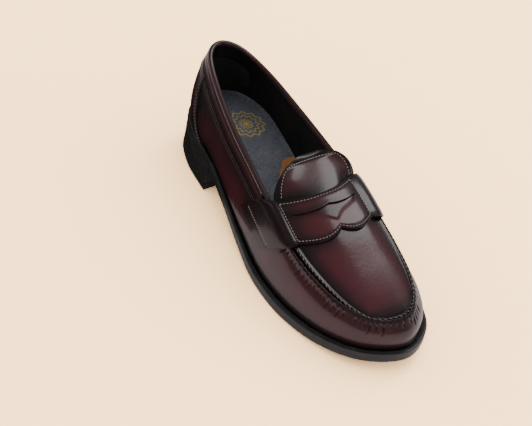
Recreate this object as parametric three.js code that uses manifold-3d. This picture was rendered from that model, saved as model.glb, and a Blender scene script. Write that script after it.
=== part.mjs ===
// Penny loafer for the right foot, about EU 42.5, standing on its heel and the ball of its sole.
// The toe points to -Y, the outer (lateral) side is -X, +Z is up. Lengths are millimetres.
//
// Two coordinates place everything on the shoe:
//   s  the distance forwards from the back of the heel, along the sole
//   u  the station round the shoe: 0 toe, 5 outer strap, 10 back of the heel, 15 inner strap, 20 toe again
import * as THREE from "three";
import { mergeVertices } from "three/addons/utils/BufferGeometryUtils.js";
import Module from "manifold-3d";

const wasm = await Module();
wasm.setup();

// Driving dimensions
const soleLength = 301;
const outsoleThick = 5.5;
const weltThick = 3;
const heelBreast = 72; // s of the heel's front face
const topLiftThick = 6;
const leather = 1.4;
const liningThick = 0.9;
const stiffenerThick = 0.9;
const gap = 0.35; // air between neighbouring pieces
const collarDepth = 11; // width of the collar band below the top line
const strapThick = 1.6;
const strapLift = 1.3; // underside of the strap above the apron
const strapMiddle = -0.12; // the strap sits a little towards the outer side; shares of the apron's half width
const foldAt = 0.76; // from the strap's middle to the fold where each side turns down over the seam
const threadRadius = 0.35;

// Depths below the outer face of the upper, layer by layer
const stiffenerDepth = leather + gap;
const liningDepth = stiffenerDepth + stiffenerThick + gap;

// Heights above the outsole's top face, layer by layer
const fillerTop = 2.4;
const boardBottom = fillerTop + gap;
const boardTop = boardBottom + 2.2;
const cushionTop = boardTop + gap + 2.5;
const insoleInset = 4.9; // from the upper's outer foot to the insole's edge

// Shape of the shoe at 20 stations. edge: sole edge [x, s]. top: moccasin seam at the front and top line
// behind the strap [x, s, z]. swell and shoulder: how far the wall bulges low down and near its top.
const stations = [
  { edge: [6.5, 301], top: [6.5, 288.8, 42.2], swell: 1, shoulder: 12 }, // toe
  { edge: [-24, 289], top: [-14.5, 284, 40.4], swell: 1, shoulder: 12 },
  { edge: [-43, 260], top: [-30.5, 263, 41.5], swell: 1.7, shoulder: 11.5 },
  { edge: [-53, 219.5], top: [-38.8, 232.5, 45.2], swell: 2.4, shoulder: 11 },
  { edge: [-53.5, 180], top: [-42, 206, 50], swell: 3, shoulder: 10 },
  { edge: [-48, 143], top: [-40.3, 172.5, 57.5], swell: 4, shoulder: 8 }, // outer strap
  { edge: [-43, 109], top: [-36, 133, 63.5], swell: 5, shoulder: 5.5 },
  { edge: [-38.5, 76], top: [-30.3, 88.5, 69], swell: 5, shoulder: 5 },
  { edge: [-34.5, 38.5], top: [-23.5, 45.5, 77.8], swell: 5, shoulder: 5.5 },
  { edge: [-22.5, 9.5], top: [-15, 14, 85.8], swell: 4, shoulder: 6 },
  { edge: [0, 0], top: [-0.5, 3, 88], swell: 3, shoulder: 7 }, // back of the heel
  { edge: [22.5, 9.5], top: [14.5, 13, 86], swell: 4, shoulder: 6 },
  { edge: [33.5, 38], top: [25.5, 42, 79.2], swell: 5, shoulder: 5.5 },
  { edge: [32, 76], top: [31.7, 84.5, 71.7], swell: 6, shoulder: 5 },
  { edge: [30.5, 112], top: [34, 131, 67], swell: 7.5, shoulder: 4.5 },
  { edge: [36.5, 150], top: [35.8, 171.5, 62], swell: 6.5, shoulder: 5.5 }, // inner strap
  { edge: [48, 190], top: [35.3, 203, 55.5], swell: 3.5, shoulder: 8 },
  { edge: [53.5, 222], top: [33.8, 227.3, 51], swell: 2, shoulder: 10 },
  { edge: [49.5, 257], top: [29.5, 254, 47.2], swell: 1.5, shoulder: 11.5 },
  { edge: [34, 284.5], top: [20.5, 275.5, 44.3], swell: 1, shoulder: 12 },
];
const round = stations.length;

// Height of the outsole's underside every 36 mm from the heel: heel seat, waist, tread and toe spring
const treadStep = 36;
const treadHeights = [25.5, 24.5, 22.5, 15, 5.5, 0.6, 0, 2.4, 7.5, 14];

const place = (x, s, z) => new THREE.Vector3(x, soleLength / 2 - s, z);
const sOf = (point) => soleLength / 2 - point.y;
const smooth = (t) => THREE.MathUtils.smoothstep(t, 0, 1);
const mix = THREE.MathUtils.lerp;

const closedCurve = (points) => new THREE.CatmullRomCurve3(points, true, "catmullrom", 0.5);
const edgeCurve = closedCurve(stations.map(({ edge }) => place(edge[0], edge[1], 0)));
const topCurve = closedCurve(stations.map(({ top }) => place(...top)));
const bulgeCurve = closedCurve(stations.map(({ swell, shoulder }) => new THREE.Vector3(swell, shoulder, 0)));
const treadCurve = new THREE.CatmullRomCurve3(
  treadHeights.map((z, i) => new THREE.Vector3(0, i * treadStep, z)), false, "catmullrom", 0.5);

const onRound = (curve, u) => curve.getPoint(THREE.MathUtils.euclideanModulo(u / round, 1));
const topEdge = (u) => onRound(topCurve, u);

function treadHeight(s) {
  const share = THREE.MathUtils.clamp(s / (treadStep * (treadHeights.length - 1)), 0, 1);
  return Math.max(0, treadCurve.getPoint(share).z);
}
const seatHeight = (s) => treadHeight(s) + outsoleThick; // top face of the outsole

// Outward direction of the sole's edge at a station, in plan
function outward(u) {
  const tangent = onRound(edgeCurve, u + 0.02).sub(onRound(edgeCurve, u - 0.02));
  return new THREE.Vector3(-tangent.y, tangent.x, 0).normalize();
}
const edgePoint = (u, inset) => onRound(edgeCurve, u).addScaledVector(outward(u), -inset);

// The welt stands out 3.2 mm past the upper at the heel and 5.5 mm at the toe
function weltReach(u) {
  const fromHeel = Math.abs(THREE.MathUtils.euclideanModulo(u, round) - round / 2) / (round / 2);
  return 3.2 + 2.3 * smooth((fromHeel - 0.35) / 0.35);
}
function footPoint(u) {
  const p = edgePoint(u, weltReach(u));
  return p.setZ(seatHeight(sOf(p)) + gap);
}

// Outer face of the upper's wall: a cubic from the welt (h 0) to the seam or top line (h 1)
function wallSkin(u, h) {
  const foot = footPoint(u);
  const top = topEdge(u);
  const bulge = onRound(bulgeCurve, u);
  const rise = top.z - foot.z;
  const low = foot.clone().addScaledVector(outward(u), bulge.x);
  const high = top.clone().addScaledVector(outward(u), bulge.y);
  low.z += 0.38 * rise;
  high.z -= 0.3 * rise;
  const k = 1 - h;
  return foot.multiplyScalar(k * k * k)
    .addScaledVector(low, 3 * k * k * h)
    .addScaledVector(high, 3 * k * h * h)
    .addScaledVector(top, h * h * h);
}
const wallLength = (u) => topEdge(u).distanceTo(footPoint(u));

// A skin with a depth below it: along cross across points into the shoe
function below(skin, a, b, depth) {
  const along = skin(a + 0.01, b).sub(skin(a - 0.01, b));
  const across = skin(a, b + 0.01).sub(skin(a, b - 0.01));
  return skin(a, b).addScaledVector(along.cross(across).normalize(), depth);
}
const wall = (u, h, depth) => below(wallSkin, u, h, depth);

// Outer face of the apron, a patch with four sides: w runs from the outer side (-1) to the inner (1), v from
// the rear under the strap (0) to the toe (1). Its long sides and its toe end lie on the moccasin seam.
const apronRear = 5.5;
const apronCorner = 1.25;
const instepCrown = 14;
function apronSkin(w, v) {
  const side = mix(apronRear, apronCorner, v);
  const inner = (1 + w) / 2;
  const blend = (a, b, t) => a.clone().lerp(b, t);
  const rear = blend(topEdge(apronRear), topEdge(round - apronRear), inner);
  rear.z += instepCrown * (1 - w * w);
  const toe = topEdge(-w * apronCorner);
  const sides = blend(topEdge(side), topEdge(round - side), inner);
  const corners = blend(
    blend(topEdge(apronRear), topEdge(round - apronRear), inner),
    blend(topEdge(apronCorner), topEdge(round - apronCorner), inner), v);
  const point = blend(rear, toe, v).add(sides).sub(corners);
  point.z += 20 * v * (1 - v) * (1 - w * w);
  return point;
}
const apron = (w, v, depth) => below(apronSkin, w, v, depth);
const apronShare = (u) => (apronRear - u) / (apronRear - apronCorner);

// A closed solid from a unit box: toPoint(p, q, depth share) places each of its vertices
function panel(toPoint, across, up) {
  const box = new THREE.BoxGeometry(1, 1, 1, across, up, 1);
  const positions = box.getAttribute("position");
  for (let i = 0; i < positions.count; i += 1) {
    const p = positions.getX(i) + 0.5;
    const q = positions.getY(i) + 0.5;
    const r = positions.getZ(i) + 0.5;
    const point = toPoint(p, q, r);
    positions.setXYZ(i, point.x, point.y, point.z);
  }
  return welded(box);
}

function welded(geometry) {
  const bare = geometry.clone();
  bare.deleteAttribute("normal");
  bare.deleteAttribute("uv");
  const merged = mergeVertices(bare, 1e-3);
  merged.computeVertexNormals();
  return merged;
}

// Part of the wall between two edges that may slant, from station uFrom(h) to uTo(h) and height hFrom to hTo
function wallPanel({ uFrom, uTo, hFrom = () => 0, hTo = () => 1, depth, thick, across, up }) {
  return panel((p, q, r) => {
    const middle = mix(uFrom(0.5), uTo(0.5), p);
    const h = mix(hFrom(middle), hTo(middle), q);
    const u = mix(uFrom(h), uTo(h), p);
    const top = typeof depth === "function" ? depth(h) : depth;
    return wall(u, h, top + r * thick);
  }, across, up);
}

// Booleans
function solid(geometry) {
  const bare = welded(geometry);
  return new wasm.Manifold(new wasm.Mesh({
    numProp: 3,
    vertProperties: new Float32Array(bare.getAttribute("position").array),
    triVerts: new Uint32Array(bare.index.array),
  }));
}
function geometryOf(manifold) {
  const mesh = manifold.getMesh();
  const geometry = new THREE.BufferGeometry();
  geometry.setAttribute("position", new THREE.BufferAttribute(mesh.vertProperties, 3));
  geometry.setIndex(new THREE.BufferAttribute(mesh.triVerts, 1));
  geometry.computeVertexNormals();
  return geometry;
}

// Upright prism over a plan outline
function prism(outline, bottom, top) {
  const shape = new THREE.Shape(outline.map((p) => new THREE.Vector2(p.x, p.y)));
  return new THREE.ExtrudeGeometry(shape, { depth: top - bottom, bevelEnabled: false }).translate(0, 0, bottom);
}
function soleOutline(inset, points = 56) {
  return Array.from({ length: points }, (_, i) => {
    const u = (i * round) / points;
    return edgePoint(u, typeof inset === "function" ? inset(u) : inset);
  });
}

// Layer between two heights that follow the sole's side profile, across the whole width
function slab(low, high, sFrom = -5, sTo = soleLength + 5, steps = 24) {
  const stops = Array.from({ length: steps + 1 }, (_, i) => mix(sFrom, sTo, i / steps));
  const side = (heightAt) => stops.map((s) => new THREE.Vector2(soleLength / 2 - s, heightAt(s)));
  const shape = new THREE.Shape([...side(low), ...side(high).reverse()]);
  const turn = new THREE.Matrix4().makeBasis(
    new THREE.Vector3(0, 1, 0), new THREE.Vector3(0, 0, 1), new THREE.Vector3(1, 0, 0));
  return new THREE.ExtrudeGeometry(shape, { depth: 160, bevelEnabled: false })
    .applyMatrix4(turn).translate(-80, 0, 0);
}
function soleLayer({ inset, low, high, sFrom, sTo, steps, points }) {
  const plan = solid(prism(soleOutline(inset, points), -10, 60));
  return plan.intersect(solid(slab(low, high, sFrom, sTo, steps)));
}

// Materials
const burgundy = new THREE.MeshStandardMaterial({ color: 0x4a1519, roughness: 0.16, metalness: 0 });
const burgundyDark = new THREE.MeshStandardMaterial({ color: 0x2a0d10, roughness: 0.2, metalness: 0 });
const blackEdge = new THREE.MeshStandardMaterial({ color: 0x17171a, roughness: 0.42, metalness: 0 });
const blackRubber = new THREE.MeshStandardMaterial({ color: 0x1b1b1d, roughness: 0.6, metalness: 0 });
const blackLining = new THREE.MeshStandardMaterial({ color: 0x14110f, roughness: 0.7, metalness: 0 });
const navySock = new THREE.MeshStandardMaterial({ color: 0x2b3040, roughness: 0.75, metalness: 0 });
const tanLeather = new THREE.MeshStandardMaterial({ color: 0xa8622a, roughness: 0.6, metalness: 0 });
const boardFibre = new THREE.MeshStandardMaterial({ color: 0x9c8262, roughness: 0.9, metalness: 0 });
const greyFoam = new THREE.MeshStandardMaterial({ color: 0x8a8a88, roughness: 0.9, metalness: 0 });
const shankSteel = new THREE.MeshStandardMaterial({ color: 0x9a9da2, roughness: 0.35, metalness: 1 });
const nailBrass = new THREE.MeshStandardMaterial({ color: 0xb18c4a, roughness: 0.35, metalness: 1 });
const paleThread = new THREE.MeshStandardMaterial({ color: 0x8d6a66, roughness: 0.7, metalness: 0 });

const shoe = new THREE.Group();
function add(name, geometry, material) {
  const mesh = new THREE.Mesh(geometry, material);
  mesh.name = name;
  shoe.add(mesh);
}

// ---- Heel, outsole and welt ----

// Nails hold the heel on from inside, and the top lift on from below
const nailRadius = 0.9;
const heelNails = [[-15, 22], [15, 22], [-17, 50], [17, 50], [0, 10.5]];
const liftNails = [[-25, 62], [25, 62], [-25.5, 38], [25.5, 38], [-17.5, 14.5], [17.5, 14.5]];
function rod(x, s, bottom, top, radius) {
  const y = soleLength / 2 - s;
  return new THREE.CylinderGeometry(radius, radius, top - bottom, 6)
    .rotateX(Math.PI / 2).translate(x, y, (bottom + top) / 2);
}
const heelNailBottom = 12;
const heelNailTop = (s) => seatHeight(s) + boardTop - 0.3;
const liftNailTop = 10;
const liftNailBottom = 0.2;

function withNailHoles(body) {
  const clear = 0.25;
  const holes = heelNails.map(([x, s]) => rod(x, s, heelNailBottom - clear, 80, nailRadius + clear))
    .concat(liftNails.map(([x, s]) => rod(x, s, -5, liftNailTop + clear, nailRadius + clear)));
  return holes.reduce((left, hole) => left.subtract(solid(hole)), body);
}

const heelPlan = (inset) => solid(prism(soleOutline(inset), -10, 60))
  .intersect(solid(new THREE.BoxGeometry(200, heelBreast + 20, 200)
    .translate(0, soleLength / 2 - (heelBreast - 20) / 2, 0)));

function heelSlice(low, high, inset) {
  return geometryOf(withNailHoles(heelPlan(inset).intersect(solid(slab(low, high, -10, 90, 4)))));
}
const stackTop = (s) => treadHeight(s) - gap;
add("heel_top_lift", heelSlice(() => 0, () => topLiftThick, 0.2), blackRubber);
const lifts = ["heel_lift_lower", "heel_lift_middle", "heel_lift_upper"];
lifts.forEach((name, i) => {
  const level = (k) => (s) => mix(topLiftThick + gap, stackTop(s) + gap, k / lifts.length);
  add(name, heelSlice(level(i), (s) => level(i + 1)(s) - gap, 0.35), blackEdge);
});
heelNails.forEach(([x, s], i) => {
  add(`heel_nail_${i + 1}`, welded(rod(x, s, heelNailBottom, heelNailTop(s), nailRadius)), shankSteel);
});
liftNails.forEach(([x, s], i) => {
  add(`top_lift_nail_${i + 1}`, welded(rod(x, s, liftNailBottom, liftNailTop, nailRadius)), nailBrass);
});

add("outsole", geometryOf(withNailHoles(
  soleLayer({ inset: 0, low: treadHeight, high: seatHeight }))), blackEdge);

const weltInside = (u) => weltReach(u) - 0.7 - 0.2 * onRound(bulgeCurve, u).x;
const weltBody = soleLayer({
  inset: 0.3, low: (s) => seatHeight(s) + gap, high: (s) => seatHeight(s) + weltThick,
}).subtract(solid(prism(soleOutline(weltInside), -10, 60)));
add("welt", geometryOf(weltBody), blackEdge);

// ---- Inside the bottom: shank, filler, insole and socks ----

const insideEdge = (u) => weltReach(u) + insoleInset;
const shankWidth = 13;
const shankSpan = [34, 158];
const shankStrip = (margin) => solid(new THREE.BoxGeometry(
  shankWidth + 2 * margin, shankSpan[1] - shankSpan[0] + 2 * margin, 200)
  .translate(-1, soleLength / 2 - (shankSpan[0] + shankSpan[1]) / 2, 0));
const shank = solid(slab((s) => seatHeight(s) + gap, (s) => seatHeight(s) + gap + 1.3, 20, 180, 14))
  .intersect(shankStrip(0));
const heelNailHoles = (body) => heelNails.reduce(
  (left, [x, s]) => left.subtract(solid(rod(x, s, 0, 80, nailRadius + 0.25))), body);
add("shank", geometryOf(shank), shankSteel);

const fillerBody = soleLayer({
  inset: insideEdge, low: (s) => seatHeight(s) + gap, high: (s) => seatHeight(s) + fillerTop, points: 44, steps: 20,
}).subtract(shankStrip(0.5));
add("cork_filler", geometryOf(heelNailHoles(fillerBody)), boardFibre);

const boardBody = soleLayer({
  inset: insideEdge, low: (s) => seatHeight(s) + boardBottom, high: (s) => seatHeight(s) + boardTop, points: 44,
  steps: 20,
});
add("insole_board", geometryOf(heelNailHoles(boardBody)), boardFibre);

// The cushion and the navy sock run from the heel to the arch, and the tan sock covers the front
const sockEdge = (u) => insideEdge(u) + 0.3;
const sockFront = 168;
const sockSkew = 26; // the navy sock's front edge slants, further forward on the outer side
function sockHalf(front, margin) {
  const edge = [[-90, sockFront + sockSkew], [90, sockFront - sockSkew]];
  const far = front ? soleLength + 20 : -20;
  const shift = front ? margin : -margin;
  const corners = [...edge.map(([x, s]) => place(x, s + shift, 0)), place(90, far, 0), place(-90, far, 0)];
  return solid(prism(front ? corners : corners.reverse(), -10, 80));
}
const padLayer = (low, high) => soleLayer({
  inset: sockEdge, low: (s) => seatHeight(s) + low, high: (s) => seatHeight(s) + high, points: 40, steps: 18,
});
add("sock_cushion", geometryOf(padLayer(boardTop + gap, cushionTop).intersect(sockHalf(false, 0.3))), greyFoam);
add("sock_lining", geometryOf(
  padLayer(cushionTop + gap, cushionTop + gap + 1).intersect(sockHalf(false, 0.3))), navySock);
add("forepart_sock", geometryOf(
  padLayer(boardTop + gap, boardTop + gap + 1.1).intersect(sockHalf(true, 0.3))), tanLeather);

// ---- Upper: walls ----

// Side seam between vamp and quarter: from under the strap it slants forwards and down to the welt
const seamStation = (h) => 4 + 1.5 * h;
const seamGap = 0.012;
const outerSeam = (h) => seamStation(h);
const innerSeam = (h) => round - seamStation(h);
const wallTop = () => 0.985;

add("vamp_wall", wallPanel({
  uFrom: (h) => -seamStation(h) + seamGap, uTo: (h) => seamStation(h) - seamGap,
  hTo: wallTop, depth: 0, thick: leather, across: 40, up: 6,
}), burgundy);

const bandBottom = (u) => 1 - collarDepth / wallLength(u);
const belowBand = (u) => bandBottom(u) - 0.008;
add("quarter_outer", wallPanel({
  uFrom: (h) => outerSeam(h) + seamGap, uTo: () => round / 2 - seamGap,
  hTo: belowBand, depth: 0, thick: leather, across: 18, up: 6,
}), burgundy);
add("quarter_inner", wallPanel({
  uFrom: () => round / 2 + seamGap, uTo: (h) => innerSeam(h) - seamGap,
  hTo: belowBand, depth: 0, thick: leather, across: 18, up: 6,
}), burgundy);
add("collar_band", wallPanel({
  uFrom: (h) => outerSeam(h) + seamGap, uTo: (h) => innerSeam(h) - seamGap, hFrom: bandBottom, hTo: wallTop,
  depth: 0, thick: leather, across: 36, up: 1,
}), burgundyDark);

const foxingThick = 1;
const foxingLift = 0.6; // underside of the foxing above the quarters
// The foxing wraps the back of the heel over the quarters, and its front edges sweep forwards at the welt
const foxingEdge = (h) => 8.5 - 1.1 * (1 - Math.min(h / 0.8, 1)) ** 1.8;
add("heel_foxing", wallPanel({
  uFrom: foxingEdge, uTo: (h) => round - foxingEdge(h), hFrom: () => 0.075, hTo: belowBand,
  depth: -foxingLift - foxingThick, thick: foxingThick, across: 14, up: 6,
}), burgundy);

add("toe_puff", wallPanel({
  uFrom: () => -1.9, uTo: () => 1.9, hFrom: () => 0.02, hTo: () => 0.93,
  depth: stiffenerDepth + 0.1, thick: stiffenerThick - 0.1, across: 14, up: 5,
}), boardFibre);
add("heel_counter", wallPanel({
  uFrom: () => 7.2, uTo: () => 12.8, hFrom: () => 0.02, hTo: () => 0.74,
  depth: stiffenerDepth + 0.1, thick: stiffenerThick - 0.1, across: 18, up: 6,
}), boardFibre);

add("vamp_lining", wallPanel({
  uFrom: () => -4.6, uTo: () => 4.6, hTo: () => 0.95,
  depth: liningDepth, thick: liningThick, across: 28, up: 5,
}), blackLining);
const quarterLiningDepth = (h) => mix(liningDepth, stiffenerDepth, smooth((h - 0.76) / 0.2));
add("quarter_lining", wallPanel({
  uFrom: () => 4.65, uTo: () => round - 4.65, hTo: wallTop,
  depth: quarterLiningDepth, thick: liningThick, across: 30, up: 8,
}), blackLining);
add("heel_grip", wallPanel({
  uFrom: () => 8.6, uTo: () => 11.4, hFrom: () => 0.3, hTo: () => 0.72,
  depth: liningDepth + liningThick + gap, thick: 0.7, across: 9, up: 4,
}), blackLining);

// Bound top line: a bead over the collar's and the lining's edges
add("topline_binding", panel((p, q, r) => {
  const u = mix(5.36, round - 5.36, p);
  const up = wallSkin(u, 1).sub(wallSkin(u, 0.97)).normalize();
  const rounding = 0.5 * q;
  return wall(u, 1, mix(-0.3 + rounding, stiffenerDepth + liningThick + 0.3 - rounding, r))
    .addScaledVector(up, mix(0.1, 1.3, q));
}, 40, 1), burgundyDark);

// ---- Upper: apron, strap and tongue ----

// Strap edges, as stations on the apron: scalloped in front with a notch in the middle, hollow behind.
// f runs from the outer fold (-1) to the inner one (1).
const strapFront = (f) => 3.93 + 0.07 * f * f - 0.19 * Math.sin(Math.PI * Math.abs(f) ** 0.85);
const strapRear = (f) => 5.13 - 0.28 * (1 - f * f);
const foldOf = (w) => THREE.MathUtils.clamp((w - strapMiddle) / foldAt, -1, 1);
const onFold = (f, p, depth) => apron(
  strapMiddle + foldAt * f, apronShare(mix(strapFront(f), strapRear(f), p)), depth);

const apronSides = 0.985;
const apronEnd = 0.992;
const apronStart = (w) => apronShare(strapRear(foldOf(w)) - 0.16);
add("vamp_apron", panel((p, q, r) => {
  const w = mix(-apronSides, apronSides, p);
  return apron(w, mix(apronStart(w), apronEnd, q), r * 1.6);
}, 10, 12), burgundy);
add("apron_lining", panel((p, q, r) => {
  const w = mix(-0.86, 0.86, p);
  return apron(w, mix(apronStart(w), 0.93, q), 1.6 + gap + r * liningThick);
}, 8, 10), blackLining);

// The strap: its middle lies on the apron, and each side bridges the seam down to the wall
const strapEndHeight = 0.47;
const strapEndFront = 4.4;
const strapEndRear = 5.5;
const ridgeRear = 5.3;
function strapSide(side, p, t, rise) {
  const mirror = (u) => (side < 0 ? u : round - u);
  const endStation = mirror(mix(strapEndFront, strapEndRear, p));
  const end = wall(endStation, strapEndHeight, -gap - 0.15 - rise);
  const fold = onFold(side, p, -strapLift - rise);
  const ridgeStation = mirror(mix(strapFront(1), ridgeRear, p));
  const ridge = topEdge(ridgeStation).addScaledVector(outward(ridgeStation), 1.9 + 0.6 * rise);
  ridge.z += 1.8 + 0.7 * rise;
  const k = side < 0 ? 0.68 : 0.55;
  const pull = ridge.addScaledVector(end, -((1 - k) ** 2)).addScaledVector(fold, -(k * k))
    .multiplyScalar(1 / (2 * k * (1 - k)));
  return end.multiplyScalar((1 - t) ** 2).addScaledVector(pull, 2 * t * (1 - t)).addScaledVector(fold, t * t);
}
function strapPoint(q, p, rise) {
  const sideShare = 0.24;
  if (q < sideShare) return strapSide(-1, p, q / sideShare, rise);
  if (q > 1 - sideShare) return strapSide(1, p, (1 - q) / sideShare, rise);
  return onFold(mix(-1, 1, (q - sideShare) / (1 - 2 * sideShare)), p, -strapLift - rise);
}
const strapBody = solid(panel((p, q, r) => strapPoint(p, 1 - q, strapThick * (1 - r)), 25, 4));

// The slot for the coin: its upper lip is nearly straight, its lower lip dips to a point in the middle
const slotHalf = 0.84;
const slotTaper = (f) => 1 - (f / slotHalf) ** 2;
const slotBrow = (f) => 0.67 + 0.02 * slotTaper(f);
const slotLip = (f) => 0.66 - 0.07 * slotTaper(f) - 0.3 * Math.exp(-((Math.abs(f) / 0.16) ** 1.3));
const slotStops = [-1, -0.75, -0.5, -0.3, -0.18, -0.08, 0, 0.08, 0.18, 0.3, 0.5, 0.75, 1].map((f) => f * slotHalf);
const slotOutline = [
  ...slotStops.map((f) => onFold(f, slotLip(f), -strapLift)),
  ...slotStops.reverse().map((f) => onFold(f, slotBrow(f), -strapLift)),
];
add("saddle_strap", geometryOf(strapBody.subtract(solid(prism(slotOutline, 40, 100)))), burgundy);
add("slot_backing", panel((p, q, r) => onFold(
  mix(0.93, -0.93, p), mix(0.15, 0.84, q), -gap - 0.6 * (1 - r)), 8, 3), burgundyDark);

// Tongue: from the strap's rear edge up the instep to a round end
const tongueTip = place(4, 142, 80.5);
const tongueHalf = 0.95;
// How far the tongue's corners stand above its middle: the inner one more, as the instep is higher there
const earRise = (w) => 5 * w * w + 2.2 * w;
const pastFold = (w) => Math.max(0, Math.abs(w - strapMiddle) - foldAt);
const tongueBase = (w) => apronSkin(w, apronShare(strapRear(foldOf(w)) + 0.3 * pastFold(w)));
function tongueSkin(w, t) {
  const base = tongueBase(w * tongueHalf);
  const root = tongueBase(0);
  const roundEnd = Math.sqrt(1 - 0.3 * w * w); // with narrow, the outline is half an ellipse
  const narrow = Math.sqrt(1 - 0.7 * t * t);
  const tipY = mix(root.y, tongueTip.y, roundEnd);
  const tipZ = mix(root.z, tongueTip.z, roundEnd) + earRise(w);
  return new THREE.Vector3(
    root.x + tongueTip.x * t + (base.x - root.x) * narrow, mix(base.y, tipY, t), mix(base.z, tipZ, t));
}
const tongueStart = (w) => 0.04 + 0.08 * w * w;
const tongue = (w, t, depth) => below((a, b) => tongueSkin(a, b), w, t, -depth);
const tongueThick = 1.3;
const rim = 0.9; // share of the tongue inside its bound edge
function tongueLayer(top, bottom) {
  return panel((p, q, r) => {
    const w = mix(rim, -rim, p);
    return tongue(w, mix(tongueStart(w), rim, q), mix(top, bottom, r));
  }, 12, 6);
}
add("tongue", tongueLayer(0, tongueThick), burgundy);
add("tongue_lining", tongueLayer(tongueThick + 1.5 * gap, tongueThick + 1.5 * gap + 0.7), blackLining);

// The bound edge runs up one side of the tongue, round its end and down the other side
const rimPath = (p, k) => {
  const leg = 3 * p;
  if (leg < 1) return [k, mix(tongueStart(k), k, leg)];
  if (leg < 2) return [mix(k, -k, leg - 1), k];
  return [-k, mix(k, tongueStart(k), leg - 2)];
};
add("tongue_binding", panel((p, q, r) => {
  const [w, t] = rimPath(p, mix(rim + 0.016, 1, q));
  return tongue(w, t, -0.1 + r * 2.4);
}, 27, 1), burgundyDark);

// ---- Stitching ----

// A thread as a slim tube through points; it lies just above the leather it holds
const threadCut = new THREE.Shape(Array.from({ length: 5 }, (_, i) => new THREE.Vector2(
  threadRadius * Math.cos((i * 2 * Math.PI) / 5), threadRadius * Math.sin((i * 2 * Math.PI) / 5))));
function thread(pointAt, from, to, steps, cut = threadCut) {
  const stops = Array.from({ length: steps + 1 }, (_, i) => pointAt(mix(from, to, i / steps)));
  const path = new THREE.CatmullRomCurve3(stops);
  return welded(new THREE.ExtrudeGeometry(cut, { steps: steps * 2, extrudePath: path, bevelEnabled: false }));
}
const above = gap + threadRadius;

const seamRadius = 0.9;
const seamCut = new THREE.Shape(Array.from({ length: 6 }, (_, i) => new THREE.Vector2(
  seamRadius * Math.cos((i * Math.PI) / 3), seamRadius * Math.sin((i * Math.PI) / 3))));
const seamPath = (u) => topEdge(u).addScaledVector(outward(u), 0.7).add(new THREE.Vector3(0, 0, 1.2));
add("moccasin_seam", thread(seamPath, -5.2, 5.2, 32, seamCut), burgundyDark);

const onBand = (u, drop) => wall(u, 1 - drop / wallLength(u), -above);
add("stitch_topline", thread((u) => onBand(u, 2.6), 5.4, 14.6, 26), paleThread);
// Below the band the rows step up onto the foxing
const foxingRise = (u) => smooth((1.95 - Math.abs(u - round / 2)) / 0.4) * (foxingLift + foxingThick);
["upper", "lower"].forEach((name, i) => {
  const row = (u) => wall(u, belowBand(u) - (1.6 + 2 * i) / wallLength(u), -above - foxingRise(u));
  add(`stitch_collar_${name}`, thread(row, 5.8, 14.2, 26), paleThread);
});
const foxingRow = (h) => wall(foxingEdge(h) + 0.16, h, -above - foxingLift - foxingThick);
const foxingRowInner = (h) => wall(round - foxingEdge(h) - 0.16, h, -above - foxingLift - foxingThick);
add("stitch_foxing_outer", thread(foxingRow, 0.1, 0.71, 9), paleThread);
add("stitch_foxing_inner", thread(foxingRowInner, 0.1, 0.71, 9), paleThread);

const onStrap = (q, p) => strapPoint(q, p, strapThick + above);
add("stitch_strap_front", thread((q) => onStrap(q, 0.07), 0.03, 0.97, 28), paleThread);
add("stitch_strap_rear", thread((q) => onStrap(q, 0.93), 0.03, 0.97, 28), paleThread);
[["outer", 0], ["inner", 1]].forEach(([name, far]) => {
  const from = (q) => Math.abs(far - q);
  add(`stitch_strap_end_${name}`, thread((p) => onStrap(from(0.045), p), 0.13, 0.87, 6), paleThread);
  add(`stitch_strap_fold_${name}`, thread((p) => onStrap(from(0.235), p), 0.13, 0.87, 6), paleThread);
});
add("stitch_tongue", thread((p) => {
  const [w, t] = rimPath(p, 0.84);
  return tongue(w, t, -above);
}, 0.04, 0.96, 22), paleThread);
const weltRow = (u) => {
  const point = edgePoint(u, 0.32 * weltReach(u));
  return point.setZ(seatHeight(sOf(point)) + weltThick + above + 0.1);
};
add("stitch_welt", thread(weltRow, -7, 7, 40), paleThread);

shoe.updateMatrixWorld(true);
const bounds = new THREE.Box3().setFromObject(shoe);
const middle = bounds.getCenter(new THREE.Vector3());
shoe.position.set(-middle.x, -middle.y, -bounds.min.z);

export default shoe;
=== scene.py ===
import bpy
import bmesh
import math
import random
import numpy as np
from mathutils import Matrix, Vector


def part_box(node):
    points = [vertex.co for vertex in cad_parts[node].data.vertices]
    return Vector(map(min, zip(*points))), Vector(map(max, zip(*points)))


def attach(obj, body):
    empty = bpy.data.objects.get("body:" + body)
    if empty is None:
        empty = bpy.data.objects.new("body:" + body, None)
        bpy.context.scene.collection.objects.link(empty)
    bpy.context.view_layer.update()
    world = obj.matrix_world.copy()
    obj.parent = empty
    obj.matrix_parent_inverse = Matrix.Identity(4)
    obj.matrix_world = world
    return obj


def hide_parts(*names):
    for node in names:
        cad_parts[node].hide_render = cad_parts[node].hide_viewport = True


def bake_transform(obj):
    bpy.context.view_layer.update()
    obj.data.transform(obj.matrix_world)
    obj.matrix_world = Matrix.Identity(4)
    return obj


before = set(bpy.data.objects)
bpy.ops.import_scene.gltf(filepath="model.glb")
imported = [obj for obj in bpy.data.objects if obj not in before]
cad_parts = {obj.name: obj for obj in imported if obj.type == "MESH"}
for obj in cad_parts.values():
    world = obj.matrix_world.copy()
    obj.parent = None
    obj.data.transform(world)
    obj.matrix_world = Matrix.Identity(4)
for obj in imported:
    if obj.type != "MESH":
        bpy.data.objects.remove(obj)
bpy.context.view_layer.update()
scene = bpy.context.scene
print("frame loaded,", len(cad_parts), "solids")


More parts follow.
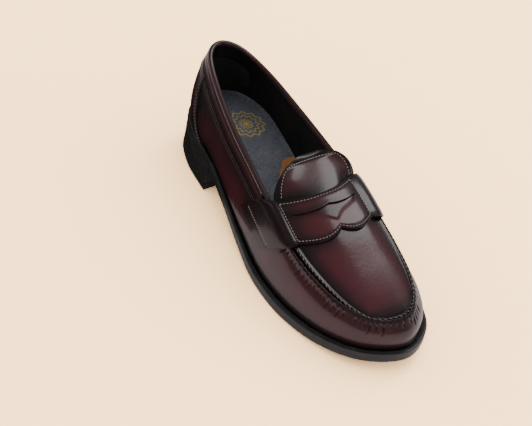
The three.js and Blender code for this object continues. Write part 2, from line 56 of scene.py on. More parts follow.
# the last: every panel is placed on these surfaces
# Lengths are in millimetres. s runs forward from the back of the heel. u is the station round the shoe:
# 0 toe, 5 outer strap, 10 back of the heel, 15 inner strap, 20 toe again.
# h climbs the wall from the welt to the top line. A lift stands off a surface, along its normal.

last = {
    "soleLength": 301.0,
    "outsole": 5.5,
    "topLift": 6.0,
    "weltHeel": 3.2,       # how far the welt reaches past the upper at the heel
    "weltGain": 2.3,       # and how much further from the waist forward
    "footLift": 0.35,
    "lowSwell": 0.38,      # where up the wall its swell is steered
    "highSwell": 0.3,      # and how far below the top its shoulder is
    "instepCrown": 14.0,   # how far the apron bows up across its rear edge
    "apronCrown": 20.0,
    "apronRear": 5.5,      # stations of the apron's rear and front corners
    "apronCorner": 1.25,
}
# sole edge x, s | moccasin seam or top line x, s, z | swell low down, shoulder near the top
stations = np.array([
    (6.5, 301, 6.5, 288.8, 42.2, 1, 12),
    (-24, 289, -14.5, 284, 40.4, 1, 12),
    (-43, 260, -30.5, 263, 41.5, 1.7, 11.5),
    (-53, 219.5, -38.8, 232.5, 45.2, 2.4, 11),
    (-53.5, 180, -42, 206, 50, 3, 10),
    (-48, 143, -40.3, 172.5, 57.5, 4, 8),
    (-43, 109, -36, 133, 63.5, 5, 5.5),
    (-38.5, 76, -30.3, 88.5, 69, 5, 5),
    (-34.5, 38.5, -23.5, 45.5, 77.8, 5, 5.5),
    (-22.5, 9.5, -15, 14, 85.8, 4, 6),
    (0, 0, -0.5, 3, 88, 3, 7),
    (22.5, 9.5, 14.5, 13, 86, 4, 6),
    (33.5, 38, 25.5, 42, 79.2, 5, 5.5),
    (32, 76, 31.7, 84.5, 71.7, 6, 5),
    (30.5, 112, 34, 131, 67, 7.5, 4.5),
    (36.5, 150, 35.8, 171.5, 62, 6.5, 5.5),
    (48, 190, 35.3, 203, 55.5, 3.5, 8),
    (53.5, 222, 33.8, 227.3, 51, 2, 10),
    (49.5, 257, 29.5, 254, 47.2, 1.5, 11.5),
    (34, 284.5, 20.5, 275.5, 44.3, 1, 12),
], float)
lap = len(stations)
heelStation = lap // 2
treadStep = 36.0
treadHeights = np.array([25.5, 24.5, 22.5, 15, 5.5, 0.6, 0, 2.4, 7.5, 14])  # the sole's underside, heel first


def spline(p0, p1, p2, p3, f):
    return 0.5 * (2 * p1 + (p2 - p0) * f + (2 * p0 - 5 * p1 + 4 * p2 - p3) * f ** 2
                  + (3 * p1 - p0 - 3 * p2 + p3) * f ** 3)


def roundTheShoe(columns, u):
    u = np.asarray(u, float) % lap
    at = np.floor(u).astype(int)
    near = [stations[(at + k) % lap][..., columns] for k in (-1, 0, 1, 2)]
    return spline(*near, (u - at)[..., None])


def treadHeight(s):
    spot = np.clip(np.asarray(s, float) / treadStep, 0, len(treadHeights) - 1.001)
    at = np.floor(spot).astype(int)
    padded = np.concatenate([[2 * treadHeights[0] - treadHeights[1]], treadHeights,
                             [2 * treadHeights[-1] - treadHeights[-2]]])
    near = [padded[at + k] for k in (0, 1, 2, 3)]
    return np.maximum(0, spline(*near, spot - at))


def lastPoint(x, s, z):
    return np.stack(np.broadcast_arrays(x, last["soleLength"] / 2 - np.asarray(s, float), z), -1)


def mix(a, b, t):
    return a + (b - a) * t


def smooth(t):
    t = np.clip(t, 0, 1)
    return t * t * (3 - 2 * t)


def bell(distance, width):
    return np.exp(-(distance / width) ** 2)


def onSide(side, u):
    # the station on the outer side, -1, or its twin on the inner side, 1
    return u if side < 0 else lap - u


def fromToe(u):
    # the station counted both ways from the toe, minus on the inner side
    return (np.asarray(u) + heelStation) % lap - heelStation


def seatHeight(s):
    return treadHeight(s) + last["outsole"]


def sOf(point):
    return last["soleLength"] / 2 - point[..., 1]


def soleEdge(u):
    edge = roundTheShoe([0, 1], u)
    return lastPoint(edge[..., 0], edge[..., 1], 0)


def outward(u):
    u = np.asarray(u, float)
    nudge = 0.02
    along = soleEdge(u + nudge) - soleEdge(u - nudge)
    side = np.stack([-along[..., 1], along[..., 0], np.zeros_like(u)], -1)
    return side / np.linalg.norm(side, axis=-1, keepdims=True)


def weltReach(u):
    fromHeel = np.abs(np.asarray(u, float) % lap - heelStation) / heelStation
    return last["weltHeel"] + last["weltGain"] * smooth((fromHeel - 0.35) / 0.35)


def solePoint(u, inset, lift=0.0):
    # inset runs in from the sole's edge, lift up from the outsole's top face
    point = soleEdge(u) - outward(u) * np.asarray(inset)[..., None]
    point[..., 2] = seatHeight(sOf(point)) + lift
    return point


def topEdge(u):
    top = roundTheShoe([2, 3, 4], u)
    return lastPoint(top[..., 0], top[..., 1], top[..., 2])


def wallSkin(u, h):
    u, h = np.broadcast_arrays(np.asarray(u, float), np.asarray(h, float))
    foot, top, side = solePoint(u, weltReach(u), last["footLift"]), topEdge(u), outward(u)
    bulge = roundTheShoe([5, 6], u)
    rise = (top - foot)[..., 2]
    low = foot + side * bulge[..., :1]
    high = top + side * bulge[..., 1:]
    low[..., 2] += last["lowSwell"] * rise
    high[..., 2] -= last["highSwell"] * rise
    h, k = h[..., None], 1 - h[..., None]
    return foot * k ** 3 + low * 3 * k * k * h + high * 3 * k * h * h + top * h ** 3


def apronSkin(w, v):
    w, v = np.broadcast_arrays(np.asarray(w, float), np.asarray(v, float))
    rearU, cornerU = last["apronRear"], last["apronCorner"]
    sideU = mix(rearU, cornerU, v)
    inner, share = ((1 + w) / 2)[..., None], v[..., None]
    rear = mix(topEdge(np.full_like(w, rearU)), topEdge(np.full_like(w, lap - rearU)), inner)
    front = mix(topEdge(np.full_like(w, cornerU)), topEdge(np.full_like(w, lap - cornerU)), inner)
    corners = mix(rear, front, share)
    crowned = rear.copy()
    crowned[..., 2] += last["instepCrown"] * (1 - w * w)
    sides = mix(topEdge(sideU), topEdge(lap - sideU), inner)
    point = mix(crowned, topEdge(-w * cornerU), share) + sides - corners
    point[..., 2] += last["apronCrown"] * v * (1 - v) * (1 - w * w)
    return point


def lay(skin, a, b, lift):
    # a point of the skin, moved along its outward normal
    a, b = np.broadcast_arrays(np.asarray(a, float), np.asarray(b, float))
    nudge = 0.01
    along = skin(a + nudge, b) - skin(a - nudge, b)
    across = skin(a, b + nudge) - skin(a, b - nudge)
    normal = np.cross(across, along)
    normal /= np.linalg.norm(normal, axis=-1, keepdims=True)
    return skin(a, b) + normal * np.asarray(lift, float)[..., None]


def onWall(u, h, lift=0.0):
    return lay(wallSkin, u, h, lift)


def onApron(w, v, lift=0.0):
    return lay(apronSkin, w, v, lift)


def wallLength(u):
    return np.linalg.norm(topEdge(u) - solePoint(u, weltReach(u)), axis=-1)


def apronShare(u):
    return (last["apronRear"] - u) / (last["apronRear"] - last["apronCorner"])


# where the last stands in the frame

soleLow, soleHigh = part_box("outsole")
edgeNow = soleEdge(np.linspace(0, lap, 400))
edgeLow, edgeHigh = edgeNow.min(axis=0), edgeNow.max(axis=0)
lastUnit = (soleHigh.y - soleLow.y) / (edgeHigh[1] - edgeLow[1])
lastCorner = np.array([soleLow.x - edgeLow[0] * lastUnit, soleHigh.y - edgeHigh[1] * lastUnit, 0])


def toFrame(points):
    return points * lastUnit + lastCorner


# mesh helpers

def finishPiece(bm, name, material, body="shoe", replaces=()):
    mesh = bpy.data.meshes.new(name)
    bm.to_mesh(mesh)
    bm.free()
    for face in mesh.polygons:
        face.use_smooth = True
    piece = bpy.data.objects.new(name, mesh)
    scene.collection.objects.link(piece)
    mesh.materials.append(material)
    if body:
        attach(piece, body)
    if replaces:
        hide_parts(*replaces)
    return piece


def finishEdges(piece, thick=None, rounding=None, level=1):
    if thick:
        wallThickness = piece.modifiers.new("thickness", "SOLIDIFY")
        wallThickness.thickness = thick / 1000
        wallThickness.offset = -1.0
        wallThickness.use_even_offset = True
        wallThickness.thickness_clamp = 1.0
    if rounding:
        edge = piece.modifiers.new("round edges", "BEVEL")
        edge.width = rounding / 1000
        edge.segments = 2
        edge.profile = 0.5
        edge.limit_method = "ANGLE"
        edge.angle_limit = math.radians(50)
    if level:
        smoothing = piece.modifiers.new("smooth", "SUBSURF")
        smoothing.levels = level
        smoothing.render_levels = level


def layGrid(across, up, place, flip=True, weld=False, burnish=None, size=(1, 1), drop=None):
    # a grid whose points go where place(p, q) says; the darkening given for each point is stored for the
    # leather's brushed dark edges and, on some panels, for painted shade
    bm = bmesh.new()
    pattern = bm.loops.layers.uv.new("pattern")
    bmesh.ops.create_grid(bm, x_segments=across, y_segments=up, size=0.5)
    flat = np.array([v.co[:2] for v in bm.verts]) + 0.5
    for face in bm.faces:
        for corner in face.loops:
            corner[pattern].uv = ((corner.vert.co.x + 0.5) * size[0], (corner.vert.co.y + 0.5) * size[1])
    if burnish:
        layer = bm.verts.layers.float.new("burnish")
        for v, value in zip(bm.verts, np.clip(burnish(flat[:, 0], flat[:, 1]), 0, 1)):
            v[layer] = float(value)
    if drop:
        centres = [(face, face.calc_center_median()) for face in bm.faces]
        gone = [face for face, centre in centres if drop(centre.x + 0.5, centre.y + 0.5)]
        bmesh.ops.delete(bm, geom=gone, context="FACES")
        flat = np.array([v.co[:2] for v in bm.verts]) + 0.5
    for v, point in zip(bm.verts, toFrame(place(flat[:, 0], flat[:, 1]))):
        v.co = point
    if flip:
        bmesh.ops.reverse_faces(bm, faces=bm.faces)
    if weld:
        bmesh.ops.remove_doubles(bm, verts=bm.verts, dist=1e-6)
    return bm


def cutPanel(name, place, grid, material, replaces, slot, thick=None, rounding=None, level=1, **laying):
    # one panel: laid on its surface, then given its thickness and its edges
    piece = finishPiece(layGrid(*grid, place, **laying), name, material, replaces=replaces)
    finishEdges(piece, thick, rounding, level)
    return piece


lieDown = Matrix.Rotation(math.radians(90), 4, "Y")


def sewRow(name, route, look, material, replaces=(), body="shoe"):
    # single stitches along route(t, lift); t runs 0 to 1
    random.seed(name)
    t = np.linspace(0, 1, 600)
    base = route(t, 0.0)
    steps = np.linalg.norm(np.diff(base, axis=0), axis=1)
    run = np.concatenate([[0], np.cumsum(steps)])
    count = max(2, int(run[-1] / look["pitch"]))
    stops = np.interp((np.arange(count) + 0.5) / count * run[-1], run, t)
    here, above = route(stops, look["sink"]), route(stops, look["sink"] + 0.5)
    ahead = route(np.minimum(stops + 0.002, 1), look["sink"])
    behind = route(np.maximum(stops - 0.002, 0), look["sink"])
    bm = bmesh.new()
    for point, up, along in zip(toFrame(here), above - here, ahead - behind):
        x, z = Vector(along).normalized(), Vector(up).normalized()
        y = z.cross(x).normalized()
        turn = Matrix((x, y, x.cross(y))).transposed()
        turn = turn @ Matrix.Rotation(math.radians(look["slant"] + random.uniform(-3, 3)), 3, "Z")
        half = look["length"] / 2000 * random.uniform(0.94, 1.04)
        sizes = Matrix.Diagonal((half, look["thick"] / 2000, look["thick"] / 2000, 1))
        place = Matrix.Translation(point) @ turn.to_4x4() @ sizes
        bmesh.ops.create_uvsphere(bm, u_segments=8, v_segments=5, radius=1, matrix=place @ lieDown)
    piece = finishPiece(bm, name, material, body, replaces)
    print("sewn", name, count, "stitches")
    return piece


# materials

def newMaterial(name):
    material = bpy.data.materials.new(name)
    material.use_nodes = True
    nodes = material.node_tree.nodes
    links = material.node_tree.links
    return material, nodes, links, nodes["Principled BSDF"]


def pieceCoordinates(nodes):
    return nodes.new("ShaderNodeTexCoord").outputs["Object"]


def noiseOn(nodes, links, vector, scale, detail=2.0, roughness=0.5, distortion=0.0):
    noise = nodes.new("ShaderNodeTexNoise")
    noise.inputs["Scale"].default_value = scale
    noise.inputs["Detail"].default_value = detail
    noise.inputs["Roughness"].default_value = roughness
    noise.inputs["Distortion"].default_value = distortion
    links.new(vector, noise.inputs["Vector"])
    return noise.outputs["Fac"]


def sums(nodes, links, operation, a, b):
    node = nodes.new("ShaderNodeMath")
    node.operation = operation
    for socket, value in zip(node.inputs, (a, b)):
        if isinstance(value, (int, float)):
            socket.default_value = value
        else:
            links.new(value, socket)
    return node.outputs[0]


def rampOn(nodes, links, value, stops):
    ramp = nodes.new("ShaderNodeValToRGB")
    marks = ramp.color_ramp.elements
    while len(marks) < len(stops):
        marks.new(0.5)
    for mark, (place, colour) in zip(marks, stops):
        mark.position = place
        mark.color = (*colour, 1) if isinstance(colour, tuple) else (colour, colour, colour, 1)
    links.new(value, ramp.inputs["Fac"])
    return ramp.outputs["Color"]


def rangeOn(nodes, links, value, low, high):
    node = nodes.new("ShaderNodeMapRange")
    node.inputs["To Min"].default_value = low
    node.inputs["To Max"].default_value = high
    links.new(value, node.inputs["Value"])
    return node.outputs["Result"]


def blendOn(nodes, links, share, first, second):
    blend = nodes.new("ShaderNodeMix")
    blend.data_type = "RGBA"
    sockets = {socket.identifier: socket for socket in blend.inputs}
    links.new(share, sockets["Factor_Float"])
    for end, colour in (("A_Color", first), ("B_Color", second)):
        if isinstance(colour, tuple):
            sockets[end].default_value = (*colour, 1)
        else:
            links.new(colour, sockets[end])
    return next(socket for socket in blend.outputs if socket.identifier == "Result_Color")


def bumpOn(nodes, links, height, strength, depth, under=None):
    bump = nodes.new("ShaderNodeBump")
    bump.inputs["Strength"].default_value = strength
    bump.inputs["Distance"].default_value = depth
    links.new(height, bump.inputs["Height"])
    if under:
        links.new(under, bump.inputs["Normal"])
    return bump.outputs["Normal"]


polish = {
    "bright": (0.092, 0.0125, 0.020),   # the red that shows where the dark finish is brushed off
    "mid": (0.036, 0.0082, 0.0125),
    "dark": (0.010, 0.0042, 0.005),
    "patchScale": 22.0,
    "patchAmount": 0.30,
    "fleckScale": 420.0,
    "fleckAmount": 0.07,
    "poreScale": 1500.0,
    "poreDepth": 0.00022,
    "creaseScale": 210.0,
    "creaseDepth": 0.0009,
    "roughness": (0.28, 0.42),
    "coat": 0.75,
    "coatRoughness": 0.13,
}


def polishedLeather(name, look=polish):
    # each panel's darkening says how dark its leather is painted: 0 is the bright red and 1 the dark edge; it
    # holds the brushed-off finish and, on some panels, painted shade
    material, nodes, links, shader = newMaterial(name)
    place = pieceCoordinates(nodes)
    burnish = nodes.new("ShaderNodeAttribute")
    burnish.attribute_name = "burnish"
    patches = noiseOn(nodes, links, place, look["patchScale"], 3, 0.55, 0.4)
    patches = rangeOn(nodes, links, patches, -look["patchAmount"], look["patchAmount"])
    flecks = noiseOn(nodes, links, place, look["fleckScale"], 4, 0.65)
    flecks = rangeOn(nodes, links, flecks, -look["fleckAmount"], look["fleckAmount"])
    depth = sums(nodes, links, "ADD", burnish.outputs["Fac"], patches)
    depth = sums(nodes, links, "ADD", depth, flecks)
    colour = rampOn(nodes, links, depth, [(0.0, look["bright"]), (0.42, look["mid"]), (0.95, look["dark"])])
    links.new(colour, shader.inputs["Base Color"])
    pores = nodes.new("ShaderNodeTexVoronoi")
    pores.feature = "SMOOTH_F1"
    pores.inputs["Scale"].default_value = look["poreScale"]
    pores.inputs["Smoothness"].default_value = 0.6
    links.new(place, pores.inputs["Vector"])
    creases = noiseOn(nodes, links, place, look["creaseScale"], 5, 0.6, 0.8)
    normal = bumpOn(nodes, links, pores.outputs["Distance"], 0.10, look["poreDepth"])
    normal = bumpOn(nodes, links, creases, 0.10, look["creaseDepth"], normal)
    links.new(normal, shader.inputs["Normal"])
    wear = rangeOn(nodes, links, noiseOn(nodes, links, place, 90, 5, 0.6), *look["roughness"])
    links.new(wear, shader.inputs["Roughness"])
    shader.inputs["Specular IOR Level"].default_value = 0.5
    shader.inputs["Coat Weight"].default_value = look["coat"]
    shader.inputs["Coat Roughness"].default_value = look["coatRoughness"]
    coatBump = bumpOn(nodes, links, creases, 0.05, 0.0006)
    links.new(coatBump, shader.inputs["Coat Normal"])
    return material


def plainLeather(name, colour, paler, roughness, grain=900.0, bump=0.35, sheen=0.0):
    material, nodes, links, shader = newMaterial(name)
    place = pieceCoordinates(nodes)
    patches = noiseOn(nodes, links, place, 60, 4, 0.6)
    links.new(rampOn(nodes, links, patches, [(0.3, colour), (0.75, paler)]), shader.inputs["Base Color"])
    pores = nodes.new("ShaderNodeTexVoronoi")
    pores.inputs["Scale"].default_value = grain
    links.new(place, pores.inputs["Vector"])
    folds = noiseOn(nodes, links, place, grain / 3, 4, 0.6)
    normal = bumpOn(nodes, links, pores.outputs["Distance"], bump, 0.0003)
    links.new(bumpOn(nodes, links, folds, bump, 0.0004, normal), shader.inputs["Normal"])
    rough = rangeOn(nodes, links, patches, roughness - 0.06, roughness + 0.08)
    links.new(rough, shader.inputs["Roughness"])
    shader.inputs["Sheen Weight"].default_value = sheen
    return material


def threadMaterial(name, colour, paler):
    material, nodes, links, shader = newMaterial(name)
    place = pieceCoordinates(nodes)
    twist = nodes.new("ShaderNodeTexWave")
    twist.inputs["Scale"].default_value = 900
    twist.inputs["Distortion"].default_value = 1.5
    links.new(place, twist.inputs["Vector"])
    strands = twist.outputs["Fac"]
    links.new(rampOn(nodes, links, strands, [(0.0, colour), (1.0, paler)]), shader.inputs["Base Color"])
    links.new(bumpOn(nodes, links, strands, 0.5, 0.0001), shader.inputs["Normal"])
    shader.inputs["Roughness"].default_value = 0.62
    shader.inputs["Sheen Weight"].default_value = 0.15
    return material


def dressedEdge(name, colour=(0.016, 0.016, 0.017), paler=(0.042, 0.042, 0.044), rough=(0.24, 0.42)):
    # stacked leather or rubber under black edge dressing: faint level lines and burnished streaks
    material, nodes, links, shader = newMaterial(name)
    place = pieceCoordinates(nodes)
    stretch = nodes.new("ShaderNodeMapping")
    stretch.inputs["Scale"].default_value = (1, 1, 14)
    links.new(place, stretch.inputs["Vector"])
    streaks = noiseOn(nodes, links, stretch.outputs["Vector"], 55, 5, 0.62, 0.3)
    links.new(rampOn(nodes, links, streaks, [(0.35, colour), (0.8, paler)]), shader.inputs["Base Color"])
    links.new(rangeOn(nodes, links, streaks, *rough), shader.inputs["Roughness"])
    fine = noiseOn(nodes, links, place, 1400, 3, 0.6)
    normal = bumpOn(nodes, links, streaks, 0.22, 0.0005)
    links.new(bumpOn(nodes, links, fine, 0.16, 0.0002, normal), shader.inputs["Normal"])
    shader.inputs["Coat Weight"].default_value = 0.35
    shader.inputs["Coat Roughness"].default_value = 0.2
    return material


def metal(name, colour, rough):
    material, nodes, links, shader = newMaterial(name)
    place = pieceCoordinates(nodes)
    scratches = noiseOn(nodes, links, place, 700, 4, 0.6)
    duller = tuple(c * 0.7 for c in colour)
    links.new(rampOn(nodes, links, scratches, [(0.3, duller), (0.7, colour)]), shader.inputs["Base Color"])
    links.new(rangeOn(nodes, links, scratches, rough - 0.1, rough + 0.15), shader.inputs["Roughness"])
    shader.inputs["Metallic"].default_value = 1.0
    return material


sockPrint = {
    "navy": (0.070, 0.078, 0.105),
    "paler": (0.170, 0.182, 0.220),
    "gold": (0.58, 0.42, 0.10),
    "radius": 0.0155,
    "behind": 0.043,       # from the sock's back edge to the middle of the printed rosette
    "aside": 0.006,
    "petals": 12,
    "petalDepth": 0.07,
    "rings": ((0.0, 0.13), (0.27, 0.33), (0.59, 0.64), (0.87, 0.93)),   # printed shares of the radius
    "ringFade": 0.03,
}


def sockMaterial(name, look=sockPrint):
    # grained navy leather with a plain gold rosette printed at the heel
    material, nodes, links, shader = newMaterial(name)
    place = pieceCoordinates(nodes)
    low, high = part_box("sock_lining")
    centre = nodes.new("ShaderNodeMapping")
    centre.inputs["Location"].default_value = (-look["aside"], look["behind"] - high.y, 0)
    centre.inputs["Scale"].default_value = (1, 1, 0)
    links.new(place, centre.inputs["Vector"])
    distance = nodes.new("ShaderNodeVectorMath")
    distance.operation = "LENGTH"
    links.new(centre.outputs["Vector"], distance.inputs[0])
    parts = nodes.new("ShaderNodeSeparateXYZ")
    links.new(centre.outputs["Vector"], parts.inputs[0])
    bearing = sums(nodes, links, "ARCTAN2", parts.outputs["Y"], parts.outputs["X"])
    petal = sums(nodes, links, "COSINE", sums(nodes, links, "MULTIPLY", bearing, look["petals"]), 0.0)
    scallop = sums(nodes, links, "MULTIPLY", petal, look["petalDepth"])
    rings = sums(nodes, links, "DIVIDE", distance.outputs["Value"], look["radius"])
    rings = sums(nodes, links, "ADD", rings, scallop)
    stops = []
    for start, end in look["rings"]:
        if start:
            stops.append((start - look["ringFade"], 0.0))
        stops += [(start, 1.0), (end, 1.0), (end + look["ringFade"], 0.0)]
    marks = rampOn(nodes, links, rings, stops)
    worn = noiseOn(nodes, links, place, 900, 3, 0.6)
    marks = sums(nodes, links, "MULTIPLY", marks, rangeOn(nodes, links, worn, 0.45, 1.15))
    patches = noiseOn(nodes, links, place, 70, 4, 0.6)
    speckle = noiseOn(nodes, links, place, 650, 3, 0.7)
    tone = sums(nodes, links, "ADD", sums(nodes, links, "MULTIPLY", patches, 0.4),
                sums(nodes, links, "MULTIPLY", speckle, 0.7))
    navy = rampOn(nodes, links, tone, [(0.38, look["navy"]), (0.72, look["paler"])])
    links.new(blendOn(nodes, links, marks, navy, look["gold"]), shader.inputs["Base Color"])
    grain = nodes.new("ShaderNodeTexVoronoi")
    grain.inputs["Scale"].default_value = 620
    links.new(place, grain.inputs["Vector"])
    normal = bumpOn(nodes, links, grain.outputs["Distance"], 0.9, 0.0009)
    normal = bumpOn(nodes, links, noiseOn(nodes, links, place, 380, 4, 0.6), 0.6, 0.0008, normal)
    links.new(normal, shader.inputs["Normal"])
    links.new(rangeOn(nodes, links, patches, 0.38, 0.56), shader.inputs["Roughness"])
    return material


upperLeather = polishedLeather("burgundy polished leather")
liningLeather = plainLeather("black lining leather", (0.006, 0.005, 0.005), (0.014, 0.012, 0.011), 0.5,
                             1100, 0.3)
heelSuede = plainLeather("heel grip suede", (0.006, 0.005, 0.005), (0.012, 0.010, 0.010), 0.8, 1400, 0.4, 0.1)
tanLeather = plainLeather("tan sock leather", (0.33, 0.115, 0.028), (0.46, 0.18, 0.05), 0.55, 1000, 0.3)
padFoam = plainLeather("cushion foam", (0.55, 0.50, 0.38), (0.68, 0.62, 0.48), 0.9, 1300, 0.5)
fibreBoard = plainLeather("insole fibre", (0.20, 0.13, 0.07), (0.32, 0.22, 0.13), 0.85, 500, 0.5)
corkFill = plainLeather("pressed cork", (0.10, 0.05, 0.02), (0.32, 0.19, 0.09), 0.9, 350, 0.8)
paleThread = threadMaterial("pale thread", (0.30, 0.21, 0.20), (0.62, 0.48, 0.46))
roseThread = threadMaterial("rose thread", (0.12, 0.08, 0.084), (0.30, 0.225, 0.23))
darkThread = threadMaterial("burgundy thread", (0.055, 0.030, 0.032), (0.17, 0.105, 0.107))
blackThread = threadMaterial("black thread", (0.012, 0.012, 0.012), (0.05, 0.05, 0.05))
blackEdge = dressedEdge("black dressed edge")
blackRubber = dressedEdge("black rubber", (0.014, 0.014, 0.015), (0.03, 0.03, 0.032), (0.5, 0.66))
sockNavy = sockMaterial("navy sock")
nailBrass = metal("nail brass", (0.62, 0.42, 0.16), 0.35)
shankSteel = metal("shank steel", (0.55, 0.56, 0.58), 0.35)
print("materials mixed")


# upper: wall, apron and moccasin seam

seamArc = {"u": np.linspace(-6, 6, 900)}
seamLine = topEdge(seamArc["u"])
seamArc["mm"] = np.concatenate([[0], np.cumsum(np.linalg.norm(np.diff(seamLine, axis=0), axis=1))])


def alongSeam(u):
    return np.interp(fromToe(u), seamArc["u"], seamArc["mm"])


wallLook = {
    "seamFoot": 4.0,       # station of the side seam at the welt, and its slant up the wall
    "seamSlant": 1.5,
    "ridge": 1.35,         # height of the rolled ridge beside the moccasin seam
    "ridgeWidth": 2.6,
    "gatherPitch": 4.2,
    "gatherDepth": 1.4,
    "gatherReach": 7.5,    # how far down the wall the gathers run
    "gatherEnd": 4.4,      # station where they die out
    "rollShare": 0.14,     # share of the rows that roll over the ridge into the seam
    "rollIn": 3.4,
    "rollDrop": 2.7,
    "thick": 1.4,
}


def sideSeam(h, look=wallLook):
    return look["seamFoot"] + look["seamSlant"] * h


def crowd(q):
    # rows stand closer towards the moccasin seam
    return 1 - (1 - q) ** 1.35


def gathers(u, below, look=wallLook):
    arc = alongSeam(u)
    uneven = 0.22 * np.sin(arc / 6.3) + 0.12 * np.sin(arc / 2.9 + 1)
    phase = 2 * math.pi * (arc / look["gatherPitch"] + uneven)
    pinch = (0.5 + 0.5 * np.cos(phase)) ** 5
    reach = look["gatherReach"] * (0.85 + 0.3 * np.sin(arc / 5.1 + 2) + 0.25 * np.sin(arc / 1.7))
    run = mix(0.22, 1.0, smooth((below - 2.0) / 1.5)) * (1 - smooth((below - reach * 0.5) / (reach * 0.7)))
    ends = smooth((look["gatherEnd"] - np.abs(fromToe(u))) / 0.25)
    return -look["gatherDepth"] * pinch * run * ends


def vampPlace(p, q, look=wallLook):
    share = 1 - look["rollShare"]
    climb = np.clip(q / share, 0, 1)
    roll = np.clip((q - share) / look["rollShare"], 0, 1)
    h = crowd(climb)
    u = mix(-sideSeam(h) - 0.03, sideSeam(h) + 0.03, p)
    below = (1 - h) * wallLength(u)
    ridge = look["ridge"] * bell(below - 1.0, look["ridgeWidth"])
    point = onWall(u, h, 0.25 + ridge + gathers(u, below))
    point = point - outward(u) * (look["rollIn"] * roll)[..., None]
    crest = 0.45 * np.sin(math.pi * np.minimum(roll * 2.4, 1))
    point[..., 2] += crest - look["rollDrop"] * smooth(roll * 1.4)
    return point


# painted shade: the wall is darkened in its pinched gathers, and a painted dark reflection lies in a band
# along the welt; it is darker too along the ridge at the top and at the side seams
def vampBurnishAndShade(p, q, look=wallLook):
    h = np.clip(q / (1 - look["rollShare"]), 0, 1)
    u = mix(-sideSeam(h), sideSeam(h), p)
    crease = -gathers(u, (1 - h) * wallLength(u)) / look["gatherDepth"]
    ends = 0.4 * bell(np.minimum(p, 1 - p), 0.03)
    return 0.30 + 0.95 * bell(h, 0.16) + 0.25 * bell(1 - h, 0.12) + ends + crease


cutPanel("vampWall", vampPlace, (760, 54), upperLeather, ["vamp_wall"], "upper_leather", wallLook["thick"],
         level=0, burnish=vampBurnishAndShade)


strapLook = {
    "middle": -0.12,       # where the strap's middle lies across the apron
    "fold": 0.76,          # from there to the folds where it turns down the sides
    "endHeight": 0.47,
    "endFront": 4.4,       # stations of its ends' corners
    "endRear": 5.5,
    "ridgeRear": 5.3,
    "sideShare": 0.24,     # share of its length beyond each fold
    "width": 41.0,
    "length": 230.0,
    "lie": 1.3,            # its underside above the apron
    "ridgeOut": 1.9,       # how far it clears the ridge of the seam, outwards and upwards
    "ridgeUp": 1.8,
    "ridgeAt": {-1: 0.68, 1: 0.55},     # where along each side it passes the ridge
    "thick": 1.7,
    "slotHalf": 0.84,
}


def strapFront(f):
    # the scalloped front edge as a station: f runs -1 to 1 between the folds, and the point is at 0
    return 3.93 + 0.07 * f * f - 0.19 * np.sin(math.pi * np.abs(f) ** 0.85)


def strapRear(f):
    return 5.13 - 0.28 * (1 - f * f)


def foldOf(w, look=strapLook):
    return np.clip((w - look["middle"]) / look["fold"], -1, 1)


def onFold(f, p, lift, look=strapLook):
    return onApron(look["middle"] + look["fold"] * f, apronShare(mix(strapFront(f), strapRear(f), p)), lift)


apronLook = {
    "half": 34.0,          # what a share across and along comes to in millimetres
    "length": 150.0,
    "tuck": 0.16,
    "rimPitch": 3.9,       # the rim is drawn in at each stitch
    "rimDraw": 0.22,
    "toeShade": 110.0,     # how quickly the dark finish gives way behind the toe and before the strap
    "strapShade": 140.0,
    "shadeWidth": 8.0,
    "thick": 1.5,
}


def apronSpot(p, q, look=apronLook):
    # the grid crowds towards the seam, and its first row is tucked under the strap's rear edge
    w = mix(-1.0, 1.0, p)
    w = np.sin(math.pi / 2 * w) * 0.35 + 0.65 * w
    start = apronShare(strapRear(foldOf(w)) - look["tuck"])
    return w, mix(start, 1.0, crowd(q))


def apronPlace(p, q, look=apronLook):
    w, v = apronSpot(p, q)
    edge = np.minimum((1 - np.abs(w)) * look["half"], (1 - v) * look["length"])
    sideU = np.sign(w) * mix(last["apronRear"], last["apronCorner"], v)
    arc = alongSeam(np.where(np.abs(w) > 0.98, sideU, -w * last["apronCorner"]))
    drawn = look["rimDraw"] * np.cos(2 * math.pi * arc / look["rimPitch"]) * bell(edge - 1.2, 1.0)
    rim = 0.75 * bell(edge - 1.6, 1.1) - 1.2 * bell(edge, 0.8) - 0.35 * bell(edge - 3.6, 1.0)
    return onApron(w * 0.985, v * 0.996, 0.35 + rim + drawn)


def apronBurnish(p, q, look=apronLook):
    w, v = apronSpot(p, q)
    edge = np.minimum((1 - np.abs(w)) * look["half"], (1 - v) * look["toeShade"])
    fromStrap = np.maximum(0, v - apronShare(strapFront(foldOf(w)))) * look["strapShade"]
    return 0.08 + 0.95 * bell(edge, look["shadeWidth"]) + 0.35 * bell(fromStrap, look["shadeWidth"])


cutPanel("vampApron", apronPlace, (150, 190), upperLeather, ["vamp_apron"], "upper_leather",
         apronLook["thick"], level=0, burnish=apronBurnish)

moccasinStitch = {
    "pitch": 3.9, "length": 2.6, "thick": 0.66, "sink": 0.1, "slant": -24.0,
    "ends": 3.95, "inset": 2.0, "lift": 1.1,
}


def moccasinRoute(t, lift, look=moccasinStitch):
    u = mix(-look["ends"], look["ends"], t)
    corner = last["apronCorner"]
    turned = np.clip(u / corner, -1, 1)
    w = -turned * (1 - look["inset"] / apronLook["half"] * np.abs(turned) ** 4)
    back = look["inset"] / apronLook["length"] * (1 - np.abs(turned) ** 8)
    return onApron(w, apronShare(np.maximum(np.abs(u), corner)) - back, look["lift"] + lift)


sewRow("moccasinStitches", moccasinRoute, moccasinStitch, roseThread, ["moccasin_seam"])


# upper: quarters, collar, foxing

quarterLook = {"height": 0.9, "lift": 0.05, "thick": 1.4}


